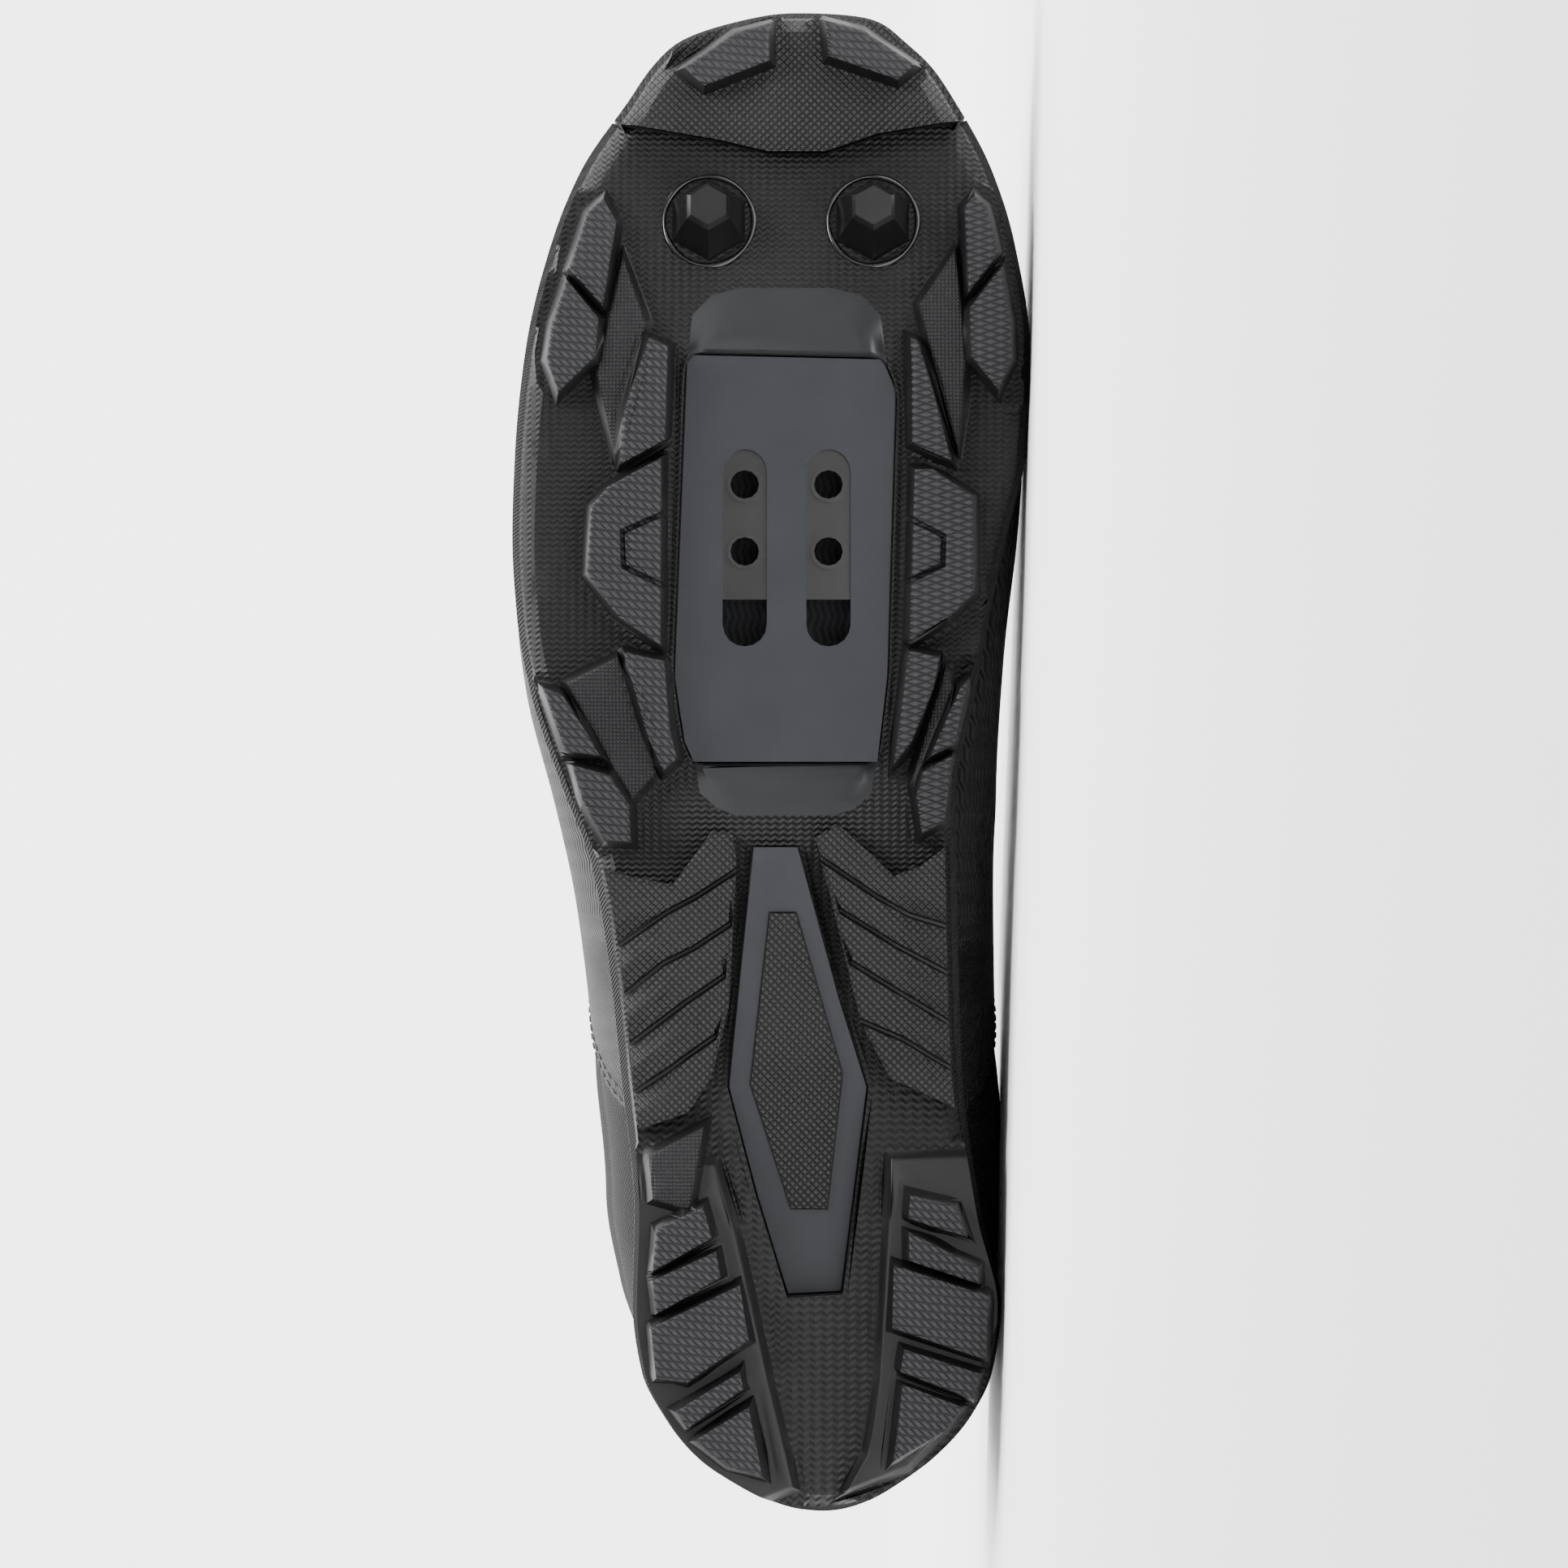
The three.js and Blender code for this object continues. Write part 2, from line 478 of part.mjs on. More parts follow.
function formPoint(which, theta, level) {
  const along = (1 - Math.cos(theta)) / 2;
  const near = endShare(theta);
  const edge = soleEdge(which, along);
  const bottom = floorHeight(along) + CLEARANCE;
  const lip = rimHeight(along);
  const widest = Math.max(INSTEP_HEIGHT * side.widest(along), lip + CLEARANCE);
  const lipInset = RIM_WALL + CLEARANCE;
  const feather = edge - which * FEATHER_INSET * near;
  const lipEdge = edge - which * lipInset * near;
  const swell = edge + which * near * WAIST_WIDTH * swells[which](along);
  let y;
  let z;
  let back = lipInset;
  let front = lipInset;
  if (level < LIP_LEVEL) {
    const t = level / LIP_LEVEL;
    y = THREE.MathUtils.lerp(feather, lipEdge, t);
    z = THREE.MathUtils.lerp(bottom, lip, t);
    back = THREE.MathUtils.lerp(FEATHER_INSET, lipInset, t);
    front = back;
  } else if (level < WIDEST_LEVEL) {
    const t = (level - LIP_LEVEL) / (WIDEST_LEVEL - LIP_LEVEL);
    y = THREE.MathUtils.lerp(lipEdge, swell, t * (2 - t));
    z = THREE.MathUtils.lerp(lip, widest, t);
  } else {
    const turn = ((level - WIDEST_LEVEL) / (1 - WIDEST_LEVEL)) * (Math.PI / 2);
    const power = 2 / side.round(along);
    const middle = THREE.MathUtils.lerp(
      (soleEdge(LATERAL, along) + soleEdge(MEDIAL, along)) / 2,
      BALL_WIDTH * side.lean(along),
      near,
    );
    y = middle + (swell - middle) * Math.max(0, Math.cos(turn)) ** power;
    z = THREE.MathUtils.lerp(widest, Math.max(widest, INSTEP_HEIGHT * side.ridge(along)), Math.sin(turn) ** power);
    back = lipInset + HEEL_LEAN * Math.sin(turn) ** 2;
  }
  const x = LENGTH * along + back * (1 - along) ** 2 - front * along ** 2;
  return new THREE.Vector3(x, y, z);
}

function sideNormal(which, theta, level) {
  const step = 0.01;
  const t = THREE.MathUtils.clamp(theta, 0.05, Math.PI - 0.05);
  const v = THREE.MathUtils.clamp(level, 2 * step, 1 - 2 * step);
  const run = formPoint(which, t + step, v).sub(formPoint(which, t - step, v));
  const rise = formPoint(which, t, v + step).sub(formPoint(which, t, v - step));
  return run.cross(rise).multiplyScalar(-which).normalize();
}

// The outward direction of the form; on the middle line both sides share one, with no part across.
function formNormal(which, theta, level) {
  const normal = sideNormal(which, theta, level);
  if (theta <= 0 || theta >= Math.PI || level >= 1) {
    normal.add(sideNormal(-which, theta, level)).setY(0);
  }
  return normal.normalize();
}

function offsetPoint(which, theta, level, distance) {
  const point = formPoint(which, theta, level);
  const normal = formNormal(which, theta, level);
  if (level === 0) {
    normal.z = 0;
    point.z -= distance;
  }
  return point.addScaledVector(normal, distance);
}

// The whole form moved outwards by a distance. Its bottom can be let down to cut right through.
function form(distance, letDown = 0) {
  const columns = ringColumns();
  const rings = FORM_LEVELS.map((level) =>
    columns.map(([which, theta]) => offsetPoint(which, theta, level, distance)),
  );
  if (letDown > 0) {
    rings.unshift(rings[0].map((point) => point.clone().setZ(point.z - letDown)));
  }
  return ringSolid(rings, stripCap(columns.length));
}

// Outsole, bumper and wings

// The ring of the sole's outline at a height, drawn in from its edge.
function soleRing(inset, height) {
  return ringColumns().map(([which, theta]) => {
    const along = (1 - Math.cos(theta)) / 2;
    const x = LENGTH * along + inset * (1 - along) ** 2 - inset * along ** 2;
    const y = soleEdge(which, along) - which * inset * endShare(theta);
    return new THREE.Vector3(x, y, height(along));
  });
}

function soleOutline(inset) {
  return soleRing(inset, () => 0).map((point) => new THREE.Vector2(point.x, point.y));
}

// Side of the sole from the tread up: bevelled foot, ledge, wall and rim. It can be made larger all round.
function soleBlock(extra = 0) {
  const rings = [
    { inset: 4, height: (along) => baseHeight(along) - extra },
    { inset: 1.8, height: (along) => baseHeight(along) + 2.2 - extra },
    { inset: 1.2, height: (along) => floorHeight(along) - 1.4 - extra },
    { inset: 0.1, height: (along) => floorHeight(along) - 0.6 - extra },
    { inset: 0, height: (along) => rimHeight(along) - 1.2 + extra },
    { inset: 0.5, height: (along) => rimHeight(along) + extra },
  ].map((row) => soleRing(row.inset - extra, row.height));
  return ringSolid(rings, stripCap(rings[0].length));
}

// A lug that widens from its tip up to its root inside the sole.
function lug(corners, drop, extra) {
  const tip = grown(placeAll(corners), extra);
  const middle = corners.along.reduce((sum, along) => sum + along, 0) / corners.along.length;
  const low = tipHeight(middle) + drop;
  const high = baseHeight(middle) + 1.2;
  const root = grown(tip, LUG_DRAFT * (high - low));
  const start = grown(tip, -LUG_DRAFT * 3);
  const rings = [
    start.map((p) => new THREE.Vector3(p.x, p.y, low - 3)),
    root.map((p) => new THREE.Vector3(p.x, p.y, high)),
  ];
  return ringSolid(rings, THREE.ShapeUtils.triangulateShape(tip, []));
}

function lugs(table, drop = 0, extra = 0) {
  const envelope = heightBand((along) => tipHeight(along) + drop, () => ABOVE);
  return union(table.map((row) => lug(row, drop, extra))).intersect(envelope);
}

function grooves(table, floorAt) {
  return union(
    table.map((row) => {
      const band = planPrism(ribbon(placeAll(row), GROOVE_WIDTH), BELOW, ABOVE);
      return band.intersect(heightBand(() => BELOW, (along) => floorAt(along) + GROOVE_DEPTH));
    }),
  );
}

const bumperRegion = (gap) => {
  const line = placeAll(BUMPER_LINE).map((point) => new THREE.Vector2(point.x + gap, point.y));
  const front = LENGTH + RIM_WALL;
  return planPrism(
    [...line, new THREE.Vector2(front, line.at(-1).y), new THREE.Vector2(front, line[0].y)],
    BELOW,
    ABOVE,
  );
};

const soleSlope = (along) => {
  const step = 0.01;
  return Math.atan2(baseHeight(along + step) - baseHeight(along - step), 2 * step * LENGTH);
};

// A round or six-sided post square to the tread at a stud's place.
function studForm(which, rings, sides) {
  const { along } = STUD_SEATS;
  const spot = place(along, STUD_SEATS[which]);
  const loops = rings.map(({ radius, height }) => {
    const loop = [];
    for (let i = 0; i < sides; i += 1) {
      const turn = (2 * Math.PI * i) / sides;
      loop.push(new THREE.Vector3(radius * Math.cos(turn), radius * Math.sin(turn), -height));
    }
    return loop;
  });
  const tilt = new THREE.Matrix4().makeRotationY(-soleSlope(along));
  const shift = new THREE.Matrix4().makeTranslation(spot.x, spot.y, baseHeight(along));
  const matrix = shift.multiply(tilt);
  loops.flat().forEach((point) => point.applyMatrix4(matrix));
  const cap = THREE.ShapeUtils.triangulateShape(
    Array.from({ length: sides }, (_, i) => {
      const turn = (2 * Math.PI * i) / sides;
      return new THREE.Vector2(Math.cos(turn), Math.sin(turn));
    }),
    [],
  );
  return ringSolid(loops, cap);
}

function studSeat(which) {
  const radius = STUD_BASE_RADIUS + CLEARANCE;
  return studForm(which, [{ radius, height: 12 }, { radius, height: -STUD_SEAT_DEPTH }], 20);
}

function stud(which) {
  const rings = [
    { radius: STUD_BASE_RADIUS, height: CLEARANCE - STUD_SEAT_DEPTH },
    { radius: STUD_BASE_RADIUS, height: 0.6 },
    { radius: STUD_TIP_RADIUS, height: STUD_HEIGHT - 1 },
    { radius: STUD_TIP_RADIUS - 0.7, height: STUD_HEIGHT },
  ];
  return studForm(which, rings, 6);
}

const cup = form(CLEARANCE);
const pocketPoints = placeAll(POCKET);
const stripPoints = placeAll(STRIP);
const badgePoints = placeAll(BADGE);
const plateOutline = soleOutline(PLATE_MARGIN);

function slabRegion(extra) {
  const low = (along) => floorHeight(along) - PLATE_THICKNESS - extra;
  const limit = placeAll(BUMPER_LINE).map((point) => new THREE.Vector2(point.x - 4 + extra, point.y));
  const keep = planPrism(
    [...limit, new THREE.Vector2(-LENGTH, limit.at(-1).y), new THREE.Vector2(-LENGTH, limit[0].y)],
    BELOW,
    ABOVE,
  );
  return heightBand(low, () => ABOVE / 2).intersect(planPrism(soleOutline(PLATE_MARGIN - extra), BELOW, ABOVE)).intersect(keep);
}

function outsole() {
  const cuts = [
    cup,
    bumperRegion(-BUMPER_GAP),
    slabRegion(CLEARANCE),
    planPrism(pocketPoints, BELOW, floorHeight(POCKET.along[0])),
    planPrism(stripPoints, BELOW, HEEL_STACK - 1),
    studSeat('lateral'),
    studSeat('medial'),
    grooves(GROOVES, tipHeight),
  ];
  return cuts.reduce((solid, cut) => solid.subtract(cut), union([soleBlock(), lugs(LUGS), lugs(LOW_LUGS, LOW_FACE_DROP)]));
}

function toeBumper() {
  return union([soleBlock(), lugs(TOE_LUGS)]).intersect(bumperRegion(0)).subtract(cup);
}

// A ribbed pad under the waist, between the sole and the ground.
function wing(outline) {
  const face = (along) => baseHeight(along) - CLEARANCE - WING_THICKNESS;
  const blank = heightBand(face, (along) => baseHeight(along) + CLEARANCE, 0.2, 0.5)
    .intersect(planPrism(placeAll(outline), BELOW, ABOVE))
    .intersect(planPrism(soleOutline(2.2), BELOW, ABOVE));
  const cuts = [soleBlock(CLEARANCE), lugs(LUGS, 0, CLEARANCE), lugs(LOW_LUGS, LOW_FACE_DROP, CLEARANCE)];
  return [...cuts, grooves(WING_GROOVES, face)].reduce((solid, cut) => solid.subtract(cut), blank);
}

// Plate, cleat nut and badge

function stadium(length, width) {
  const shape = [];
  const reach = (length - width) / 2;
  for (let i = 0; i <= 8; i += 1) {
    const turn = -Math.PI / 2 + (Math.PI * i) / 8;
    shape.push(new THREE.Vector2(reach + (width / 2) * Math.cos(turn), (width / 2) * Math.sin(turn)));
  }
  return [...shape, ...shape.map((point) => point.clone().negate())];
}

const pocketMiddle = place(POCKET_MIDDLE.along, POCKET_MIDDLE.across);
const nutLength = BOSS_SPACING + 2 * BOSS_RADIUS + 2 * NUT_MARGIN;
const nutWidth = SLOT_SPACING + 2 * BOSS_RADIUS + 2;
const nutX = pocketMiddle.x + NUT_AHEAD;
const nutFloor = POCKET_FLOOR_HEIGHT + POCKET_FLOOR_THICKNESS;

function shifted(points, x, y) {
  return points.map((point) => new THREE.Vector2(point.x + x, point.y + y));
}

function rectangle(length, width) {
  return [[-1, -1], [1, -1], [1, 1], [-1, 1]].map(([x, y]) => new THREE.Vector2((x * length) / 2, (y * width) / 2));
}

function solePlate() {
  const top = heightBand(() => BELOW, floorHeight);
  const slab = slabRegion(0);
  const pocket = planPrism(grown(pocketPoints, -CLEARANCE), POCKET_FLOOR_HEIGHT, floorHeight(POCKET.along[0]));
  const strip = planPrism(grown(stripPoints, -CLEARANCE), BELOW, HEEL_STACK)
    .intersect(heightBand(stripHeight, () => ABOVE / 2, 0.1, 0.5));
  const wellLength = nutLength + NUT_FRONT_TRAVEL + NUT_REAR_TRAVEL + 4 * CLEARANCE;
  const wellX = nutX + (NUT_FRONT_TRAVEL - NUT_REAR_TRAVEL) / 2;
  const well = planPrism(
    shifted(rectangle(wellLength, nutWidth + 4 * CLEARANCE), wellX, pocketMiddle.y),
    nutFloor,
    ABOVE,
  );
  const slots = [LATERAL, MEDIAL].map((which) => {
    const y = pocketMiddle.y + (which * SLOT_SPACING) / 2;
    return planPrism(shifted(stadium(SLOT_LENGTH, SLOT_WIDTH), pocketMiddle.x, y), BELOW, ABOVE);
  });
  const seat = planPrism(grown(badgePoints, CLEARANCE), BELOW, ABOVE)
    .intersect(heightBand(() => BELOW, (along) => stripHeight(along) + BADGE_SEAT_DEPTH));
  const solid = union([slab, pocket, strip]).intersect(top);
  return [well, ...slots, seat].reduce((rest, cut) => rest.subtract(cut), solid);
}

function cleatNut() {
  const low = nutFloor + CLEARANCE;
  const plate = planPrism(shifted(rectangle(nutLength, nutWidth), nutX, pocketMiddle.y), low, low + NUT_THICKNESS);
  const spots = [-1, 1].flatMap((fore) => [-1, 1].map((across) => [
    nutX + (fore * BOSS_SPACING) / 2,
    pocketMiddle.y + (across * SLOT_SPACING) / 2,
  ]));
  const round = (radius, sides) =>
    Array.from({ length: sides }, (_, i) => {
      const turn = (2 * Math.PI * i) / sides;
      return new THREE.Vector2(radius * Math.cos(turn), radius * Math.sin(turn));
    });
  const bosses = spots.map(([x, y]) => planPrism(shifted(round(BOSS_RADIUS, 16), x, y), low - BOSS_HEIGHT, low + 0.5));
  const threads = spots.map(([x, y]) => planPrism(shifted(round(THREAD_RADIUS, 12), x, y), BELOW, ABOVE));
  return threads.reduce((solid, hole) => solid.subtract(hole), union([plate, ...bosses]));
}

function treadBadge() {
  const low = (along) => stripHeight(along) + BADGE_SEAT_DEPTH - CLEARANCE - BADGE_THICKNESS;
  const high = (along) => stripHeight(along) + BADGE_SEAT_DEPTH - CLEARANCE;
  return planPrism(badgePoints, BELOW, ABOVE).intersect(heightBand(low, high, 0.15, 0.45));
}

// Upper, tongue, insole and lace

function collarCut() {
  const line = new THREE.CatmullRomCurve3(
    TOPLINE.map((row) => new THREE.Vector3(LENGTH * row.along, COLLAR_HEIGHT * row.height, 0)),
  ).getPoints(24);
  const points = line.map((point) => new THREE.Vector2(point.x, point.y));
  const [first, last] = [points[0], points.at(-1)];
  return sidePrism([...points, new THREE.Vector2(last.x, ABOVE), new THREE.Vector2(first.x, ABOVE)]);
}

// An outline about the ridge line with a round front, from back to front in shares of the length.
function ridgeOutline(back, front, backHalf, frontHalf) {
  const steps = 8;
  const right = [];
  const left = [];
  for (let i = 0; i <= steps; i += 1) {
    const along = THREE.MathUtils.lerp(back, front, i / steps);
    const half = THREE.MathUtils.lerp(backHalf, frontHalf, i / steps);
    const middle = BALL_WIDTH * side.lean(along);
    right.push(new THREE.Vector2(LENGTH * along, middle - half));
    left.unshift(new THREE.Vector2(LENGTH * along, middle + half));
  }
  const nose = [];
  const centre = new THREE.Vector2(LENGTH * front, BALL_WIDTH * side.lean(front));
  for (let i = 1; i < 8; i += 1) {
    const turn = -Math.PI / 2 + (Math.PI * i) / 8;
    nose.push(new THREE.Vector2(centre.x + frontHalf * Math.cos(turn), centre.y + frontHalf * Math.sin(turn)));
  }
  return [...right, ...nose, ...left];
}

// The place on the form that stands over a point of the plan.
function levelOver(which, theta, y) {
  let low = WIDEST_LEVEL;
  let high = 1;
  for (let i = 0; i < 20; i += 1) {
    const middle = (low + high) / 2;
    if (which * (formPoint(which, theta, middle).y - y) > 0) low = middle;
    else high = middle;
  }
  return (low + high) / 2;
}

function overForm(along, offCentre, distance) {
  const which = offCentre < 0 ? LATERAL : MEDIAL;
  const theta = angleOf(along);
  const y = BALL_WIDTH * side.lean(along) + offCentre;
  const level = offCentre === 0 ? 1 : levelOver(which, theta, y);
  return offsetPoint(which, theta, level, distance);
}

const eyeletRows = Array.from({ length: EYELET_PAIRS }, (_, i) => {
  const share = i / (EYELET_PAIRS - 1);
  const along = THREE.MathUtils.lerp(LACING.front, LACING.back, share);
  const throat = THREE.MathUtils.lerp(THROAT_FRONT_HALF, THROAT_BACK_HALF, share);
  return { along, offCentre: throat + EYELET_FROM_EDGE };
});

function eyelet(along, offCentre) {
  const middle = overForm(along, offCentre, 0);
  const out = overForm(along, offCentre, 1).sub(middle).normalize();
  const turn = new THREE.Quaternion().setFromUnitVectors(new THREE.Vector3(0, 1, 0), out);
  const pin = new THREE.CylinderGeometry(EYELET_RADIUS, EYELET_RADIUS, 6 * UPPER_WALL, 8);
  return toSolid(pin.applyQuaternion(turn).translate(middle.x, middle.y, middle.z));
}

function upper() {
  const seam = SEAM.map((row) => new THREE.Vector2(LENGTH * row.along, COLLAR_HEIGHT * row.height));
  const foot = [];
  for (let i = 0; i <= STRIP_STEPS; i += 1) {
    const along = THREE.MathUtils.lerp(1.02, SEAM[0].along, i / STRIP_STEPS);
    foot.push(new THREE.Vector2(LENGTH * along, rimHeight(along) + 1.5));
  }
  foot.pop();
  const front = LENGTH * 1.05;
  const panel = sidePrism([
    ...foot,
    ...seam,
    new THREE.Vector2(seam.at(-1).x, ABOVE),
    new THREE.Vector2(front, ABOVE),
    new THREE.Vector2(front, foot[0].y),
  ].reverse());
  const step = form(PANEL_STEP).intersect(panel).subtract(soleBlock(CLEARANCE));
  const outside = form(0).add(step);
  const throat = planPrism(
    ridgeOutline(THROAT.back - 0.05, THROAT.front, THROAT_BACK_HALF, THROAT_FRONT_HALF),
    floorHeight(THROAT.front) + UPPER_WALL,
    ABOVE,
  );
  const holes = eyeletRows.flatMap((row) => [eyelet(row.along, row.offCentre), eyelet(row.along, -row.offCentre)]);
  return [form(-UPPER_WALL, 4 * CLEARANCE), collarCut(), throat, ...holes].reduce(
    (solid, cut) => solid.subtract(cut),
    outside,
  );
}

// A padded sheet under the throat, on the same columns and levels as the upper.
function tongue() {
  const outer = -UPPER_WALL - CLEARANCE;
  const levels = FORM_LEVELS.filter((level) => level >= TONGUE.level);
  const across = [
    ...levels.map((level) => [LATERAL, level]),
    ...levels.slice(0, -1).reverse().map((level) => [MEDIAL, level]),
  ];
  const rings = [];
  for (let k = 0; k <= COLUMNS; k += 1) {
    const theta = (Math.PI * k) / COLUMNS;
    if (theta >= angleOf(TONGUE.back) && theta <= angleOf(TONGUE.front)) {
      const skin = (distance) => across.map(([which, level]) => offsetPoint(which, theta, level, distance));
      rings.push([...skin(outer), ...skin(outer - TONGUE_THICKNESS).reverse()]);
    }
  }
  const cap = [];
  for (let i = 0; i + 1 < across.length; i += 1) {
    const [far, near] = [2 * across.length - 1 - i, 2 * across.length - 2 - i];
    cap.push([i, i + 1, near], [i, near, far]);
  }
  return ringSolid(rings, cap);
}

function insole() {
  const layer = heightBand(
    (along) => floorHeight(along) + CLEARANCE,
    (along) => floorHeight(along) + CLEARANCE + INSOLE_THICKNESS,
  );
  return form(-UPPER_WALL - CLEARANCE, 4 * CLEARANCE).intersect(layer);
}

// One crossing of the lace over the throat, from an eyelet on one side to an eyelet on the other.
function laceTube(from, to) {
  const lift = PANEL_STEP + CLEARANCE + LACE_RADIUS + 0.2;
  const steps = 6;
  const points = [];
  for (let i = 0; i <= steps; i += 1) {
    const along = THREE.MathUtils.lerp(from.along, to.along, i / steps);
    const offCentre = THREE.MathUtils.lerp(from.offCentre, to.offCentre, i / steps);
    points.push(overForm(along, offCentre, lift));
  }
  const section = new THREE.Shape(
    Array.from({ length: LACE_SIDES }, (_, i) => {
      const turn = (2 * Math.PI * i) / LACE_SIDES;
      return new THREE.Vector2(LACE_RADIUS * Math.cos(turn), LACE_RADIUS * Math.sin(turn));
    }),
  );
  const path = new THREE.CatmullRomCurve3(points);
  return toSolid(new THREE.ExtrudeGeometry(section, { steps, bevelEnabled: false, extrudePath: path }));
}

function lace() {
  const mirrored = eyeletRows.map((row) => ({ along: row.along, offCentre: -row.offCentre }));
  const tubes = [laceTube(mirrored[0], eyeletRows[0])];
  for (let i = 0; i + 1 < EYELET_PAIRS; i += 1) {
    tubes.push(laceTube(mirrored[i], eyeletRows[i + 1]));
    tubes.push(laceTube(eyeletRows[i], mirrored[i + 1]));
  }
  return union(tubes);
}

// Materials and pieces

const rubber = new THREE.MeshStandardMaterial({ color: '#3c3c3e', roughness: 0.78 });
const capRubber = new THREE.MeshStandardMaterial({ color: '#444446', roughness: 0.8 });
const nylon = new THREE.MeshStandardMaterial({ color: '#343840', roughness: 0.42 });
const steel = new THREE.MeshStandardMaterial({ color: '#8f9194', roughness: 0.35, metalness: 1 });
const studPlastic = new THREE.MeshStandardMaterial({ color: '#141416', roughness: 0.35 });
const knit = new THREE.MeshStandardMaterial({ color: '#2f3033', roughness: 0.9 });
const foam = new THREE.MeshStandardMaterial({ color: '#26272a', roughness: 0.95 });
const cordCloth = new THREE.MeshStandardMaterial({ color: '#1d1e20', roughness: 0.85 });

const PIECES = [
  { name: 'outsole', solid: outsole(), material: rubber },
  { name: 'toe_bumper', solid: toeBumper(), material: capRubber },
  { name: 'arch_wing_lateral', solid: wing(WING_LATERAL), material: capRubber },
  { name: 'arch_wing_medial', solid: wing(WING_MEDIAL), material: capRubber },
  { name: 'sole_plate', solid: solePlate(), material: nylon },
  { name: 'cleat_nut', solid: cleatNut(), material: steel },
  { name: 'tread_badge', solid: treadBadge(), material: capRubber },
  { name: 'toe_stud_lateral', solid: stud('lateral'), material: studPlastic },
  { name: 'toe_stud_medial', solid: stud('medial'), material: studPlastic },
  { name: 'upper', solid: upper(), material: knit },
  { name: 'tongue', solid: tongue(), material: knit },
  { name: 'insole', solid: insole(), material: foam },
  { name: 'lace', solid: lace(), material: cordCloth },
];

const shoe = new THREE.Group();
PIECES.forEach(({ name, solid, material }) => {
  const mesh = new THREE.Mesh(toGeometry(solid), material);
  mesh.name = name;
  shoe.add(mesh);
});

// Rest on the inner side

// Mass centre of the whole shoe, each piece with the same density.
function massCentre(meshes) {
  const sum = new THREE.Vector3();
  let volume = 0;
  meshes.forEach((mesh) => {
    const p = mesh.geometry.attributes.position;
    const corners = [new THREE.Vector3(), new THREE.Vector3(), new THREE.Vector3()];
    for (let i = 0; i < p.count; i += 3) {
      corners.forEach((corner, j) => corner.fromBufferAttribute(p, i + j));
      const [a, b, c] = corners;
      const part = a.dot(b.clone().cross(c)) / 6;
      volume += part;
      sum.addScaledVector(a.clone().add(b).add(c), part / 4);
    }
  });
  return sum.divideScalar(volume);
}

function hullPoints(meshes) {
  const points = [];
  meshes.forEach((mesh) => {
    const p = mesh.geometry.attributes.position;
    for (let i = 0; i < p.count; i += 1) points.push(new THREE.Vector3().fromBufferAttribute(p, i));
  });
  return points;
}

// The face of the hull that carries the mass centre and faces most to the inner side.
function restNormal(meshes) {
  const centre = massCentre(meshes);
  const hull = new ConvexHull().setFromPoints(hullPoints(meshes));
  const inner = new THREE.Vector3(0, 1, 0);
  const carrying = hull.faces.filter((face) => {
    const corners = [face.edge, face.edge.next, face.edge.next.next].map((edge) => edge.head().point);
    const foot = centre.clone().addScaledVector(face.normal, -face.distanceToPoint(centre));
    return new THREE.Triangle(...corners).containsPoint(foot);
  });
  return carrying.reduce((best, face) => (face.normal.dot(inner) > best.normal.dot(inner) ? face : best)).normal;
}

const down = new THREE.Vector3(0, 0, -1);
const meshes = [...shoe.children];
shoe.quaternion.setFromUnitVectors(restNormal(meshes), down);
shoe.updateMatrixWorld(true);
const heading = new THREE.Vector3(1, 0, 0).applyQuaternion(shoe.quaternion);
const straighten = new THREE.Quaternion().setFromAxisAngle(new THREE.Vector3(0, 0, 1), -Math.atan2(heading.y, heading.x));
shoe.quaternion.premultiply(straighten);
shoe.updateMatrixWorld(true);
const box = new THREE.Box3().setFromObject(shoe, true);
const middle = box.getCenter(new THREE.Vector3());
shoe.position.set(-middle.x, -middle.y, -box.min.z);

const part = new THREE.Group();
part.add(shoe);
part.updateMatrixWorld(true);

export default part;
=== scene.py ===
# Off-road cycling shoe, right foot, lying on its inner side and seen from below.
# Shapes are given in the shoe's own millimetres: x from heel to toe, y to the inner side and z up from
# the tread.
import functools
import json
import math

import bmesh
import bpy
import numpy as np
from mathutils import Matrix, Vector, kdtree
from mathutils.geometry import delaunay_2d_cdt


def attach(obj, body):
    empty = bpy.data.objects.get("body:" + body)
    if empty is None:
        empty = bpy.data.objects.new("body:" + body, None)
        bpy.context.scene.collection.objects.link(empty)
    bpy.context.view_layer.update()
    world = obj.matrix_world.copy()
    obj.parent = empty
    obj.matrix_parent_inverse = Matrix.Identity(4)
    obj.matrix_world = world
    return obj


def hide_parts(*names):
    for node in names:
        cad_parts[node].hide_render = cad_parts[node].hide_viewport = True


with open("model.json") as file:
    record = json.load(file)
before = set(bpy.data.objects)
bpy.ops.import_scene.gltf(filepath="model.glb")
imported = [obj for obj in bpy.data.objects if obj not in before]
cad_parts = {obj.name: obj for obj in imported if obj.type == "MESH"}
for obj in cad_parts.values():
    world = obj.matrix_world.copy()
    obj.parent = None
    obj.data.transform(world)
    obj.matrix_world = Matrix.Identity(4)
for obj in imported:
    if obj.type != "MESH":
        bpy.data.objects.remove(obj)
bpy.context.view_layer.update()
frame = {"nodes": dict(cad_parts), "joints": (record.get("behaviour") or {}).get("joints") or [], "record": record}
nodes = frame["nodes"]

